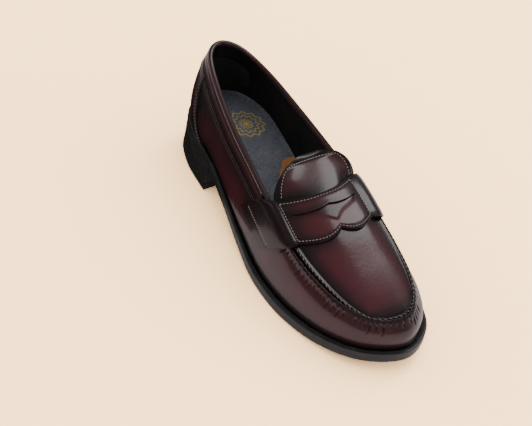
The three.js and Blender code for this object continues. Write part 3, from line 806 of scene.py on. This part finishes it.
def quarterSheet(name, side, node, look=quarterLook):
    def place(p, q):
        h = q * look["height"]
        return onWall(onSide(side, mix(sideSeam(h) + 0.01, heelStation, p)), h, look["lift"])

    def burnish(p, q):
        u = mix(sideSeam(q * look["height"]), heelStation, p)
        front = 0.5 * bell(u - 4.6, 0.55) + 0.9 * bell(np.maximum(0, 8.4 - u), 0.45)
        return 0.24 + 0.95 * bell(q, 0.16) + 0.95 * bell(1 - q, 0.3) + front

    cutPanel(name, place, (150, 30), upperLeather, [node], "upper_leather", look["thick"], 0.3,
             flip=side < 0, burnish=burnish)


quarterSheet("quarterOuter", -1, "quarter_outer")
quarterSheet("quarterInner", 1, "quarter_inner")


collarLook = {
    "start": 4.9,          # station of the band's ends, under the strap
    "depth": 11.5,
    "top": 1.6,
    "lift": 0.5,
    "padding": 0.25,
    "thick": 1.2,
    "rowGap": 2.1,
}


def collarPlace(p, q, look=collarLook):
    u = mix(look["start"], lap - look["start"], p)
    down = mix(look["depth"], look["top"], q)
    lift = look["lift"] * (0.35 + 0.65 * smooth(q / 0.14)) + look["padding"] * bell(q - 0.55, 0.3)
    return onWall(u, 1 - down / wallLength(u), lift)


def collarBurnish(p, q):
    return 0.6 + 0.3 * bell(q, 0.2) - 0.25 * bell(q - 0.6, 0.3)


cutPanel("collarBand", collarPlace, (260, 12), upperLeather, ["collar_band"], "trim_leather",
         collarLook["thick"], 0.3, burnish=collarBurnish)

bindingLook = {
    "start": 5.1,
    "legShare": 0.34,      # share of the rows down each side of the top line
    "leg": 3.0,
    "outerLift": 0.75,
    "innerLift": -3.2,
    "crest": 1.05,
    "thick": 0.5,
}


def bindingPlace(p, q, look=bindingLook):
    u = mix(look["start"], lap - look["start"], p)
    leg = look["legShare"]
    down = look["leg"] * np.where(q < leg, 1 - q / leg, np.where(q > 1 - leg, (q - 1 + leg) / leg, 0))
    turn = math.pi * np.clip((q - leg) / (1 - 2 * leg), 0, 1)
    lift = mix(look["innerLift"], look["outerLift"], 0.5 + 0.5 * np.cos(turn))
    point = onWall(u, 1 - down / wallLength(u), lift)
    top, under = wallSkin(u, np.ones_like(u)), wallSkin(u, np.full_like(u, 0.97))
    up = (top - under) / np.linalg.norm(top - under, axis=-1, keepdims=True)
    return point + up * (look["crest"] * np.sin(turn))[..., None]


def bindingBurnish(p, q):
    return 0.35 + 0.4 * np.abs(q - 0.5) * 2


cutPanel("toplineBinding", bindingPlace, (260, 16), upperLeather, ["topline_binding"], "trim_leather",
         bindingLook["thick"], 0.2, burnish=bindingBurnish)

foxingLook = {
    "lift": 1.15,
    "thick": 1.0,
    "edge": 8.5,           # station of its front edge at the top, and how far it sweeps forward below
    "sweep": 1.1,
    "foot": 0.012,
    "underCollar": 10.5,
}


def foxingEdge(h, look=foxingLook):
    return look["edge"] - look["sweep"] * (1 - np.minimum(h / 0.8, 1)) ** 1.8


def foxingPlace(p, q, look=foxingLook):
    wall = wallLength(mix(foxingEdge(0.5), lap - foxingEdge(0.5), p))
    h = mix(look["foot"], 1 - look["underCollar"] / wall, q)
    u = mix(foxingEdge(h), lap - foxingEdge(h), p)
    rolled = smooth(np.minimum(p, 1 - p) / 0.02)
    return onWall(u, h, look["lift"] * (0.55 + 0.45 * rolled) * mix(1.0, 0.55, smooth((q - 0.86) / 0.14)))


def foxingBurnish(p, q):
    side = np.minimum(p, 1 - p)
    return 0.95 * bell(q, 0.2) + 0.9 * bell(1 - q, 0.22) + 0.85 * bell(side, 0.09) + 0.12


cutPanel("heelFoxing", foxingPlace, (120, 36), upperLeather, ["heel_foxing"], "upper_leather",
         foxingLook["thick"], 0.3, burnish=foxingBurnish)

fineStitch = {"pitch": 2.3, "length": 1.75, "thick": 0.5, "sink": 0.22, "slant": 4.0}
boldStitch = {"pitch": 2.6, "length": 2.0, "thick": 0.52, "sink": 0.16, "slant": 7.0}
toplineStitch = {**fineStitch, "pitch": 1.9, "length": 1.35}
rowLook = {"toplineEnd": 5.15, "toplineDown": 2.0, "collarEnd": 5.3, "collarDown": 1.3, "foxingStep": 0.09}


def toplineRoute(t, lift, look=rowLook):
    u = mix(look["toplineEnd"], lap - look["toplineEnd"], t)
    return onWall(u, 1 - look["toplineDown"] / wallLength(u), bindingLook["outerLift"] + lift)


sewRow("toplineStitches", toplineRoute, toplineStitch, paleThread, ["stitch_topline"])


def foxingRise(u):
    return foxingLook["lift"] * smooth((1.62 - np.abs(u - heelStation)) / 0.22)


for order, name in enumerate(["Upper", "Lower"]):
    def collarRoute(t, lift, order=order):
        u = mix(rowLook["collarEnd"], lap - rowLook["collarEnd"], t)
        down = collarLook["depth"] + rowLook["collarDown"] + collarLook["rowGap"] * order
        return onWall(u, 1 - down / wallLength(u), foxingRise(u) + lift + 0.05)
    sewRow("collarStitches" + name, collarRoute, fineStitch, darkThread, ["stitch_collar_" + name.lower()])

for name, side in (("Outer", -1), ("Inner", 1)):
    for row in (1, 2):
        def foxingRoute(t, lift, side=side, row=row):
            h = mix(0.05, 0.76, t)
            u = foxingEdge(h) + rowLook["foxingStep"] * row
            return onWall(onSide(side, u), h, foxingLook["lift"] + lift)
        sewRow(f"foxingStitches{name}{row}", foxingRoute, boldStitch, roseThread,
               ["stitch_foxing_" + name.lower()])
print("upper laid")


# strap

def slotTaper(f, look=strapLook):
    return np.clip(1 - (f / look["slotHalf"]) ** 2, 0, 1)


def slotBrow(f):
    return 0.67 + 0.02 * slotTaper(f)


def slotLip(f):
    return 0.66 - 0.07 * slotTaper(f) - 0.3 * np.exp(-(np.abs(f) / 0.16) ** 1.3)


def foldShare(along, look=strapLook):
    # a place along the strap's length, counted from its middle to the folds as -1 to 1
    return mix(-1, 1, (along - look["sideShare"]) / (1 - 2 * look["sideShare"]))


def strapSide(side, p, t, rise, look=strapLook):
    # from the strap's end, over the ridge of the seam, to the fold
    endU = onSide(side, mix(look["endFront"], look["endRear"], p))
    end = onWall(endU, np.full_like(p, look["endHeight"]), 0.5 + rise)
    fold = onFold(np.full_like(p, side), p, look["lie"] + rise)
    ridgeU = onSide(side, mix(strapFront(1.0), look["ridgeRear"], p))
    ridge = topEdge(ridgeU) + outward(ridgeU) * (look["ridgeOut"] + 0.6 * np.asarray(rise))[..., None]
    ridge[..., 2] += look["ridgeUp"] + 0.7 * rise
    k = look["ridgeAt"][side]
    pull = (ridge - end * (1 - k) ** 2 - fold * k * k) / (2 * k * (1 - k))
    t = t[..., None]
    return end * (1 - t) ** 2 + pull * 2 * t * (1 - t) + fold * t * t


def strapPoint(q, p, rise, look=strapLook):
    q, p, rise = (np.asarray(a, float) for a in np.broadcast_arrays(q, p, rise))
    share = look["sideShare"]
    point = onFold(np.clip(foldShare(q), -1, 1), p, look["lie"] + rise)
    for side, t in ((-1, q / share), (1, (1 - q) / share)):
        here = t < 1
        point[here] = strapSide(side, p[here], np.clip(t[here], 0, 1), rise[here])
    return point


strapRows = {"front": 14, "slot": 1, "rear": 10}


def strapGrid(p, q):
    # q counts rows: the front rows end on the slot's lower lip and the rear rows start on its upper lip
    row = q * sum(strapRows.values())
    f = np.clip(foldShare(p), -1, 1)
    lip, brow = slotLip(f), slotBrow(f)
    front = lip * row / strapRows["front"]
    rear = brow + (1 - brow) * (row - strapRows["front"] - strapRows["slot"]) / strapRows["rear"]
    return np.where(row <= strapRows["front"] + 0.01, front, rear), f, lip, brow


def strapRise(along, across, f, lip, brow, look=strapLook):
    # height of the strap's face above its flat lie: thinned edges, sewn-down grooves, lips of the slot
    slotOpen = smooth((look["slotHalf"] - np.abs(f)) / 0.25)
    rim = np.minimum(across, 1 - across) * look["width"]
    endRim = np.minimum(along, 1 - along) * look["length"]
    thinned = -0.75 * bell(rim, 2.2) * smooth(endRim / 40)
    lower = 0.45 * slotOpen * bell((across - lip) * look["width"], 2.4) * (across <= lip + 0.01)
    upper = 0.1 * slotOpen * bell((across - brow) * look["width"], 2.6) * (across > lip + 0.01)
    sideGroove = 0.3 * bell(rim - 2.9, 0.8) * smooth((0.25 - np.abs(along - 0.5)) / 0.02)
    endGroove = 0.3 * bell(endRim - 9.0, 1.6)
    return look["thick"] + thinned + lower + upper - sideGroove - endGroove


def strapPlace(p, q):
    across, f, lip, brow = strapGrid(p, q)
    return strapPoint(p, across, strapRise(p, across, f, lip, brow))


# painted shade: the sides that turn down beyond the folds are painted dark, the face darkens towards the
# folds, and it is darkened round the slot; the darker rims are the brushed edges
def strapBurnishAndShade(p, q):
    across, f, lip, brow = strapGrid(p, q)
    rim = np.minimum(across, 1 - across) * strapLook["width"]
    side = smooth((np.abs(p - 0.5) - 0.25) / 0.015)
    middle = 0.08 + 0.75 * bell(rim, 5) + 0.5 * bell((1 - np.abs(f)) * 27, 7)
    return mix(middle + 0.5 * bell((across - brow) * strapLook["width"], 4), 0.82, side)


def inSlot(p, q):
    above = q * sum(strapRows.values()) - strapRows["front"]
    return 0 < above < strapRows["slot"] and abs(foldShare(p)) < strapLook["slotHalf"]


cutPanel("saddleStrap", strapPlace, (200, sum(strapRows.values())), upperLeather, ["saddle_strap"],
         "upper_leather", 1.5, 0.35, burnish=strapBurnishAndShade, drop=inSlot, flip=False)

backingLook = {"half": 0.95, "front": 0.15, "rear": 0.86, "lift": 0.95, "thick": 0.6, "burnish": 0.35}


def backingPlace(p, q, look=backingLook):
    return onFold(mix(-look["half"], look["half"], p), mix(look["front"], look["rear"], q), look["lift"])


def backingBurnish(p, q):
    return np.full_like(p, backingLook["burnish"])


cutPanel("slotBacking", backingPlace, (40, 16), upperLeather, ["slot_backing"], "trim_leather",
         backingLook["thick"], burnish=backingBurnish)

strapStitch = {"pitch": 2.5, "length": 1.85, "thick": 0.55, "sink": 0.12, "slant": 5.0}
# each row runs from (along, across) to (along, across), as shares of the strap's length and width
strapSeams = {
    "Front": ((0.245, 0.07), (0.755, 0.07), "stitch_strap_front"),
    "Rear": ((0.245, 0.93), (0.755, 0.93), "stitch_strap_rear"),
    "FoldOuter": ((0.247, 0.07), (0.247, 0.93), "stitch_strap_fold_outer"),
    "FoldInner": ((0.753, 0.07), (0.753, 0.93), "stitch_strap_fold_inner"),
    "EndOuter": ((0.04, 0.07), (0.04, 0.93), "stitch_strap_end_outer"),
    "EndInner": ((0.96, 0.07), (0.96, 0.93), "stitch_strap_end_inner"),
}


def onStrap(along, across, lift):
    f = np.clip(foldShare(along), -1, 1)
    return strapPoint(along, across, strapRise(along, across, f, slotLip(f), slotBrow(f)) + lift)


for seam, (start, end, node) in strapSeams.items():
    def strapRoute(t, lift, start=start, end=end):
        return onStrap(mix(start[0], end[0], t), mix(start[1], end[1], t), lift)
    sewRow("strapStitches" + seam, strapRoute, strapStitch, paleThread, [node])
print("strap laid")


# tongue

tongueLook = {
    "tip": (4, 142, 80.5),     # x, s and z of the middle of its free edge
    "half": 0.95,              # half width at the root, as a share of the apron's
    "tuck": -0.12,             # how far its root runs on under the strap
    "onward": (36, 9),         # and how steeply: forward and down, for a whole share
    "rim": (32, 30),           # what a share across and along comes to in millimetres
    "corner": 0.24,
    "thick": 1.9,
    "bend": (0.016, 0.004),    # behind and above the tongue's root, read into bendBack and bendUp
}


def tongueBase(w, look=strapLook):
    past = np.maximum(0, np.abs(w - look["middle"]) - look["fold"])
    return apronSkin(w, apronShare(strapRear(foldOf(w)) + 0.3 * past))


def tongueSkin(w, t, look=tongueLook):
    w, t = np.broadcast_arrays(np.asarray(w, float), np.asarray(t, float))
    base, root = tongueBase(w * look["half"]), tongueBase(np.zeros_like(w))
    roundEnd = np.sqrt(1 - 0.3 * w * w)
    narrow = np.sqrt(1 - 0.7 * t * t)
    tip = lastPoint(*look["tip"])
    y = mix(base[..., 1], mix(root[..., 1], tip[1], roundEnd), t)
    z = mix(base[..., 2], mix(root[..., 2], tip[2], roundEnd) + 5 * w * w + 2.2 * w, t)
    return np.stack([root[..., 0] + look["tip"][0] * t + (base[..., 0] - root[..., 0]) * narrow, y, z], -1)


def roundCorners(w, t, amount=tongueLook["corner"]):
    # square coordinates to a panel with rounded top corners
    rising = np.maximum(t, 0)
    return w * np.sqrt(1 - amount * rising ** 4), t * np.sqrt(1 - amount * w ** 4)


def tongueRim(w, t, look=tongueLook):
    return np.minimum((1 - np.abs(w)) * look["rim"][0], (1 - t) * look["rim"][1])


def tonguePlace(p, q, look=tongueLook):
    w, t = mix(-1, 1, p), mix(look["tuck"], 1, q)
    rim = tongueRim(w, t)
    puff = 0.35 * bell(rim - 1.5, 1.7) - 0.45 * bell(rim - 4.4, 0.9)
    under = -1.6 * smooth((0.02 - t) / 0.12)
    tucked = np.minimum(t, 0)
    w, t = roundCorners(w, t)
    onward = np.stack([0 * t, look["onward"][0] * tucked, look["onward"][1] * tucked], -1)
    return lay(tongueSkin, w, np.maximum(t, 0.0), -puff - under) + onward


# painted shadow: the tongue is darkened near its root, where it passes under the strap's rear edge; the
# darker rim is the brushed edge
def tongueBurnishAndShadow(p, q, look=tongueLook):
    w, t = mix(-1, 1, p), mix(look["tuck"], 1, q)
    return 0.26 + smooth((6.5 - tongueRim(w, t)) / 4.0) + 0.8 * bell(np.maximum(t, 0), 0.2)


tongueSheet = layGrid(60, 44, tonguePlace, burnish=tongueBurnishAndShadow, flip=False)
tongue = finishPiece(tongueSheet, "tongue", upperLeather, body=None,
                     replaces=["tongue", "tongue_lining", "tongue_binding"])
tongue.data.materials.append(liningLeather)
finishEdges(tongue, tongueLook["thick"], 0.5)
tongue.modifiers["thickness"].material_offset = 1
bendBack, bendUp = tongueLook["bend"]
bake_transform(tongue)


def tongueRoute(t, lift):
    # up one side, across the top and down the other
    leg = 3 * t
    k = 0.855
    w = np.where(leg < 1, -k, np.where(leg < 2, mix(-k, k, leg - 1), k))
    up = np.where(leg < 1, mix(0.10, k, leg), np.where(leg < 2, k, mix(k, 0.10, leg - 2)))
    return lay(tongueSkin, *roundCorners(w, up), 0.2 - lift)


sewRow("tongueStitches", tongueRoute, strapStitch, paleThread, ["stitch_tongue"], body="tongue_flap")
print("tongue laid")


# linings and socks

liningLook = {
    "thick": 0.9,
    "depth": 3.0,          # below the upper's outer face, and less near the top line
    "topDepth": 1.75,
    "gripDepth": 4.25,
    "apronDepth": 2.2,
    "crease": 0.125,
}


def liningDepth(h, look=liningLook):
    return mix(look["depth"], look["topDepth"], smooth((h - 0.76) / 0.2))


def quarterLiningPlace(p, q):
    h = mix(0.0, 0.965, q)
    u = mix(4.65, lap - 4.65, p)
    crease = liningLook["crease"] * np.sin(u * 9) * bell(h - 0.45, 0.25)
    return onWall(u, h, crease - liningDepth(h))


cutPanel("quarterLining", quarterLiningPlace, (160, 24), liningLeather, ["quarter_lining"], "lining_leather",
         liningLook["thick"])


def vampLiningPlace(p, q):
    return onWall(mix(-4.6, 4.6, p), mix(0.0, 0.94, q), -liningLook["depth"])


cutPanel("vampLining", vampLiningPlace, (120, 18), liningLeather, ["vamp_lining"], "lining_leather",
         liningLook["thick"])


def apronLiningPlace(p, q):
    w = mix(-0.99, 0.99, p)
    rear = apronShare(strapRear(foldOf(w)) - 0.2)
    return onApron(w, mix(rear, 0.985, q), -liningLook["apronDepth"])


cutPanel("apronLining", apronLiningPlace, (40, 60), liningLeather, ["apron_lining"], "lining_leather",
         liningLook["thick"])


gripLook = {"start": 8.6, "low": 0.3, "high": 0.72, "corner": 0.1, "thick": 0.7}


def gripPlace(p, q, look=gripLook):
    u = mix(look["start"], lap - look["start"], p)
    rounding = look["corner"] * (1 - np.sqrt(np.clip(1 - (2 * p - 1) ** 6, 0, 1)))
    h = mix(look["low"] + rounding, look["high"] - rounding, q)
    return onWall(u, h, -liningLook["gripDepth"])


cutPanel("heelGrip", gripPlace, (60, 20), heelSuede, ["heel_grip"], "lining_leather", gripLook["thick"], 0.2)

sockLook = {
    "inset": 4.9,          # from the welt line to the sock's edge, less the wall's swell
    "outerFront": 3.95,    # stations where the sock's slanted front edge meets its sides
    "innerFront": 15.2,
    "height": 8.9,
    "crown": 0.9,
    "curl": 1.6,           # how far the edges turn up the lining
    "thick": 1.0,
}


def solePanel(outerU, innerU, across, inset, lift):
    # a point between the sole's two sides, above the outsole
    outer, inner = (solePoint(u, weltReach(u) + inset - 0.62 * roundTheShoe([5], u)[..., 0])
                    for u in (outerU, innerU))
    point = mix(outer, inner, ((1 + across) / 2)[..., None])
    point[..., 2] = seatHeight(sOf(point)) + lift
    return point


def sockStations(along, look=sockLook):
    return mix(heelStation, look["outerFront"], along), mix(heelStation, look["innerFront"], along)


def sockPlace(p, q, look=sockLook):
    c = mix(-1, 1, p)
    q = np.maximum(q, 1e-4) ** 0.8
    side = np.maximum(np.abs(c), bell(q, 0.05))
    lift = look["height"] + look["crown"] * (1 - c * c) * smooth(q / 0.2) + look["curl"] * side ** 12
    outerU, innerU = sockStations(q)
    return solePanel(outerU, innerU, c, look["inset"], lift)


cutPanel("sockLining", sockPlace, (48, 130), sockNavy, ["sock_lining"], "sock_navy", sockLook["thick"], 0.25,
         flip=False, weld=True)

padLook = {
    "start": 0.03,         # shares of the sock's length where the pad begins, and how long it is
    "share": 0.9,
    "outerFront": 4.2,
    "innerFront": 15.1,
    "inset": 7.5,
    "middle": 6.55,        # its middle above the outsole's top, and half its thickness
    "half": 1.1,
}


def padPlace(p, q, look=padLook):
    # a ring of points for each q, crowned above and below and drawn in at both ends
    turn = 2 * math.pi * p
    c, rise = np.sin(turn), np.cos(turn)
    along = look["start"] + look["share"] * q
    end = np.sqrt(np.clip(1 - np.abs(2 * q - 1) ** 8, 0, 1))
    across = np.sign(c) * np.abs(c) ** 0.6 * mix(0.5, 1, end)
    lift = look["middle"] + look["half"] * np.sign(rise) * np.abs(rise) ** 0.5 * end
    outerU, innerU = mix(heelStation, look["outerFront"], along), mix(heelStation, look["innerFront"], along)
    return solePanel(outerU, innerU, across, look["inset"], lift)


sockPad = cutPanel("sockCushion", padPlace, (48, 60), padFoam, ["sock_cushion"], "cushion_foam",
                   flip=False, weld=True)


foreLook = {
    "half": 0.99,
    "toe": 0.02,           # stations where it starts and ends
    "outerRear": 3.85,
    "innerRear": 15.3,
    "inset": 6.2,
    "height": 6.1,
    "crown": 0.3,
    "thick": 0.8,
}


def foreSockPlace(p, q, look=foreLook):
    c = mix(-look["half"], look["half"], p)
    outerU, innerU = mix(look["toe"], look["outerRear"], q), mix(lap - look["toe"], look["innerRear"], q)
    return solePanel(outerU, innerU, c, look["inset"], look["height"] + look["crown"] * (1 - c * c))


cutPanel("forepartSock", foreSockPlace, (30, 60), tanLeather, ["forepart_sock"], "sock_tan",
         foreLook["thick"], weld=True)

tanLook = {
    "edge": 0.985,         # its sides, as shares of the sock's width
    "point": -0.95,
    "rear": 0.6,           # its ends, as shares of the sock's length
    "front": 0.97,
    "above": 0.75,
    "thick": 0.6,
}


def tanPlace(p, q, look=tanLook):
    # the tan front of the sock that shows beside the tongue
    c = mix(look["edge"], mix(look["edge"], look["point"], q), p)
    outerU, innerU = sockStations(mix(look["rear"], look["front"], q))
    surface = sockLook["height"] + sockLook["crown"] * (1 - c * c) + sockLook["curl"] * np.abs(c) ** 12
    return solePanel(outerU, innerU, c, sockLook["inset"], surface + look["above"])


cutPanel("sockTanPiece", tanPlace, (40, 50), tanLeather, (), "sock_tan", tanLook["thick"], 0.15, weld=True)
print("linings and socks in")


# sole, welt and heel

def slab(name, node, slot, material, alongU, edge, level, grid, end=None):
    # a closed slab of rings that run across the top, down the inner rim, back below and up the outer rim
    # edge(k) gives the rim's inset and height, from k 0 at the top to 1 below
    across, rim, along = grid
    corners = [across, across + rim, 2 * across + rim]

    def place(p, q):
        step = p * (corners[2] + rim)
        parts = [step < corner for corner in corners]
        inner = np.select(parts, [step / across, 1, 1 - (step - corners[1]) / across], 0)
        k = np.select(parts, [0, (step - corners[0]) / rim, 1], 1 - (step - corners[2]) / rim)
        u = alongU(np.clip(q, 0, 1))
        inset, height = edge(k)
        point = mix(solePoint(u, inset), solePoint(lap - u, inset), inner[..., None])
        point[..., 2] = level(point, height)
        return end(point, q) if end else point

    return cutPanel(name, place, (corners[2] + rim, along), material, [node], slot, flip=False, weld=True)


outsoleLook = {"inset": 0.15, "topRound": 0.05, "lowRound": 1.9, "grid": (14, 10, 220)}


def outsoleEdge(k, look=outsoleLook):
    turn = math.pi * k
    rounding = mix(look["topRound"], look["lowRound"], smooth(k * 2 - 1))
    return look["inset"] + rounding * (1 - np.sin(turn) ** 0.5), np.cos(turn)


def outsoleLevel(point, height):
    return treadHeight(sOf(point)) + last["outsole"] * (0.5 + 0.5 * height)


def toeToHeel(q):
    return heelStation * q


slab("outsole", "outsole", "sole_leather", blackEdge, toeToHeel, outsoleEdge, outsoleLevel,
     outsoleLook["grid"])

weltLook = {
    "thick": 3.0,
    "rib": 0.3,            # depth and spacing of the wheel marks round the rim
    "ribPitch": 2.3,
    "outerInset": 0.12,
    "underUpper": 0.9,
}
weltArc = {"u": np.linspace(0, lap, 1200)}
weltLine = soleEdge(weltArc["u"])
weltArc["mm"] = np.concatenate([[0], np.cumsum(np.linalg.norm(np.diff(weltLine, axis=0), axis=1))])


def weltPlace(p, q, look=weltLook):
    u = lap * p
    turns = np.interp(u, weltArc["u"], weltArc["mm"]) / weltArc["mm"][-1]
    rib = 0.5 + 0.5 * np.cos(2 * math.pi * turns * round(weltArc["mm"][-1] / look["ribPitch"]))
    swell = roundTheShoe([5], u)[..., 0]
    innerInset = weltReach(u) - look["underUpper"] - 0.2 * swell
    outerInset = look["outerInset"]
    # q runs inner bottom, inner top, rim, outer edge, outer bottom and back
    k = q * 4
    inset = np.where(k < 1, innerInset, np.where(k < 2, mix(innerInset, outerInset, k - 1),
                     np.where(k < 3, outerInset, mix(outerInset, innerInset, k - 3))))
    high = np.where(k < 1, k, np.where(k < 2, 1, np.where(k < 3, 3 - k, 0)))
    corner = bell(k - 2, 0.22)
    point = solePoint(u, inset + 0.25 * corner)
    lift = mix(0.0, look["thick"], high) - 0.3 * corner
    point[..., 2] += lift - look["rib"] * rib * bell(k - 1.86, 0.22)
    return point


cutPanel("welt", weltPlace, (1300, 40), blackEdge, ["welt"], "sole_leather", level=0, weld=True)

weltStitch = {"pitch": 3.0, "length": 2.3, "thick": 0.7, "sink": 0.05, "slant": 6.0, "ends": 7}


def weltRoute(t, lift, look=weltStitch):
    u = mix(-look["ends"], look["ends"], t)
    return solePoint(u, 0.5 * weltReach(u) - 0.3, weltLook["thick"] + lift)


sewRow("weltStitches", weltRoute, weltStitch, blackThread, ["stitch_welt"])

heelLook = {
    "breast": 72.0,        # from the back of the heel to its front face
    "hollow": 2.5,         # the front face is hollowed across this half width
    "hollowHalf": 34.0,
    "inset": 0.3,
    "edgeRound": 0.4,
    "gap": 0.3,
    "shut": 0.86,          # share of the rings before the front face closes
    "grid": (12, 8, 70),
}
heelStations = np.linspace(6.2, 8.2, 400)
outerBreast = heelStations[np.argmin(np.abs(sOf(soleEdge(heelStations)) - heelLook["breast"]))]


def liftSlab(name, node, slot, material, low, high, inset, follow=False, look=heelLook):
    # one layer of the heel; the uppermost follows the sole's underside
    def topOf(point):
        return treadHeight(sOf(point)) + high if follow else high

    def edge(k):
        turn = math.pi * k
        return inset + look["edgeRound"] * (1 - np.sin(turn) ** 0.3), np.cos(turn)

    def level(point, height):
        return mix(low, topOf(point), 0.5 + 0.5 * height)

    def alongHeel(q):
        return mix(heelStation, outerBreast, np.minimum(q / look["shut"], 1) ** 0.9)

    def breastEnd(point, q):
        shut = np.clip((q - look["shut"]) / (1 - look["shut"]), 0, 1)[..., None]
        hollow = look["hollow"] * (1 - (point[..., 0] / look["hollowHalf"]) ** 2)
        front = last["soleLength"] / 2 - (look["breast"] - hollow)
        point[..., 1] = np.where(q >= look["shut"] - 0.001, front, np.maximum(point[..., 1], front))
        middle = point.copy()
        middle[..., 2] = (low + topOf(point)) / 2
        return mix(point, middle, smooth(shut))

    slab(name, node, slot, material, alongHeel, edge, level, look["grid"], breastEnd)


liftSlab("topLift", "heel_top_lift", "lift_rubber", blackRubber, 0.0, last["topLift"], 0.0)
for part in ("Lower", "Middle", "Upper"):
    node = "heel_lift_" + part.lower()
    low, high = (corner.z * 1000 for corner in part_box(node))
    top = part == "Upper"
    liftSlab("heelLift" + part, node, "sole_leather", blackEdge, low, -heelLook["gap"] if top else high,
             heelLook["inset"], follow=top)
print("sole built")


# solids that stay as they are get their finish here

kept = {
    "insole_board": fibreBoard,
    "cork_filler": corkFill,
    "toe_puff": fibreBoard,
    "heel_counter": fibreBoard,
    "shank": shankSteel,
}
for name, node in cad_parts.items():
    if "nail" in name:
        kept[name] = nailBrass
    if name in kept:
        node.data.materials.clear()
        node.data.materials.append(kept[name])


# floor, light and camera

studio = {
    "floor": (0.86, 0.79, 0.70),
    "floorInGloss": (0.86, 0.74, 0.75),
    "floorSeen": (4.7, 3.05, 1.5),   # the sweep is overexposed, as a product studio's is
    "world": (1.0, 0.97, 0.94),
    "worldFill": 0.85,
    "worldInGloss": 0.10,             # the studio beyond the lamps is dark
    "lens": 133.1,
    "aim": (-0.0252, 0.0058, 0.030),
    "distance": 1.4865,
    "azimuth": 36.67,
    "elevation": 38.72,
    "lean": 11.88,         # the camera is held leaning to the left
}


def stageSheet(name, material, place, half, turn=0, tip=0):
    # a flat sheet of the studio, with its half sizes in metres
    bm = bmesh.new()
    bmesh.ops.create_grid(bm, x_segments=1, y_segments=1, size=1)
    bmesh.ops.scale(bm, verts=bm.verts, vec=(*half, 1))
    turned = Matrix.Rotation(math.radians(turn), 4, "Z") @ Matrix.Rotation(math.radians(tip), 4, "X")
    bmesh.ops.transform(bm, verts=bm.verts, matrix=Matrix.Translation(place) @ turned)
    mesh = bpy.data.meshes.new(name)
    bm.to_mesh(mesh)
    bm.free()
    mesh.materials.append(material)
    sheet = bpy.data.objects.new(name, mesh)
    scene.collection.objects.link(sheet)
    return sheet


floorPaint, floorNodes, floorLinks, floorShader = newMaterial("floor paint")
floorShader.inputs["Roughness"].default_value = 0.7
floorBright = floorNodes.new("ShaderNodeBsdfDiffuse")
floorBright.inputs["Color"].default_value = (*studio["floorSeen"], 1)
floorRays = floorNodes.new("ShaderNodeLightPath")
floorTone = blendOn(floorNodes, floorLinks, floorRays.outputs["Is Glossy Ray"], studio["floor"],
                    studio["floorInGloss"])
floorLinks.new(floorTone, floorShader.inputs["Base Color"])
floorMix = floorNodes.new("ShaderNodeMixShader")
floorLinks.new(floorRays.outputs["Is Camera Ray"], floorMix.inputs["Fac"])
floorLinks.new(floorShader.outputs["BSDF"], floorMix.inputs[1])
floorLinks.new(floorBright.outputs["BSDF"], floorMix.inputs[2])
floorLinks.new(floorMix.outputs["Shader"], floorNodes["Material Output"].inputs["Surface"])
stageSheet("floor", floorPaint, (0, 0, 0), (60, 60))

world = bpy.data.worlds.new("studio")
scene.world = world
world.use_nodes = True
sky = world.node_tree.nodes["Background"]
sky.inputs["Color"].default_value = (*studio["world"], 1)
skyRays = world.node_tree.nodes.new("ShaderNodeLightPath")
skyRange = rangeOn(world.node_tree.nodes, world.node_tree.links, skyRays.outputs["Is Glossy Ray"],
                   studio["worldFill"], studio["worldInGloss"])
world.node_tree.links.new(skyRange, sky.inputs["Strength"])


# each lamp's place, what it points at, its size, power and the way its long side runs
lamps = {
    "key softbox": ((0.80, 0.386, 1.36), (0, -0.03, 0.05), (1.7, 0.36), 4.8, (0.84, 0.21, -0.65)),
    "tongue softbox": ((1.22, 0.02, 1.10), (0, -0.02, 0.06), (0.8, 0.8), 0.3, (1, 0, 0)),
    "rim softbox": ((-1.0, 1.1, 0.9), (0, 0, 0.05), (0.14, 0.9), 0.8, (1, 0, 0)),
    "toe strip": ((1.3, -0.9, 0.5), (0, -0.1, 0.04), (0.9, 0.12), 1.3, (0.5, 0.7, 0.1)),
    "front strip": ((-0.5, -1.5, 0.9), (0, -0.1, 0.02), (1.2, 0.10), 1.0, (1, 0, 0)),
}


def softbox(name, place, aim, size, power, along):
    data = bpy.data.lights.new(name, "AREA")
    data.shape = "ELLIPSE"
    data.size, data.size_y = size
    data.energy = power
    lamp = bpy.data.objects.new(name, data)
    z = (Vector(place) - Vector(aim)).normalized()
    y = z.cross(Vector(along)).normalized()
    lamp.matrix_world = Matrix.Translation(place) @ Matrix((y.cross(z), y, z)).transposed().to_4x4()
    scene.collection.objects.link(lamp)


for name, settings in lamps.items():
    softbox(name, *settings)
print("lamps lit")

# black cards that only reflections see, so that the outer side stays deep
cardPaint, *_, cardShader = newMaterial("black card")
cardShader.inputs["Base Color"].default_value = (0.01, 0.009, 0.009, 1)
cardShader.inputs["Roughness"].default_value = 0.9
cards = {
    "standing card": ((-0.52, 0.36, 0.22), (0.45, 0.25), 62, 90),
    "lying card": ((-0.173, 0.228, 0.002), (0.13, 0.19), 62, 0),
}
for name, settings in cards.items():
    card = stageSheet(name, cardPaint, *settings)
    for sight in ("visible_camera", "visible_diffuse", "visible_shadow", "visible_transmission"):
        setattr(card, sight, False)

lensData = bpy.data.cameras.new("studio camera")
lensData.lens = studio["lens"]
lensData.sensor_width = 36
camera = bpy.data.objects.new("studio camera", lensData)
turn = math.radians(studio["azimuth"])
climb = math.radians(studio["elevation"])
back = Vector((-math.sin(turn) * math.cos(climb), -math.cos(turn) * math.cos(climb), math.sin(climb)))
camera.location = Vector(studio["aim"]) + back * studio["distance"]
look = (-back).to_track_quat("-Z", "Y").to_matrix()
camera.rotation_euler = (look @ Matrix.Rotation(math.radians(studio["lean"]), 3, "Z")).to_euler()
scene.collection.objects.link(camera)
scene.camera = camera
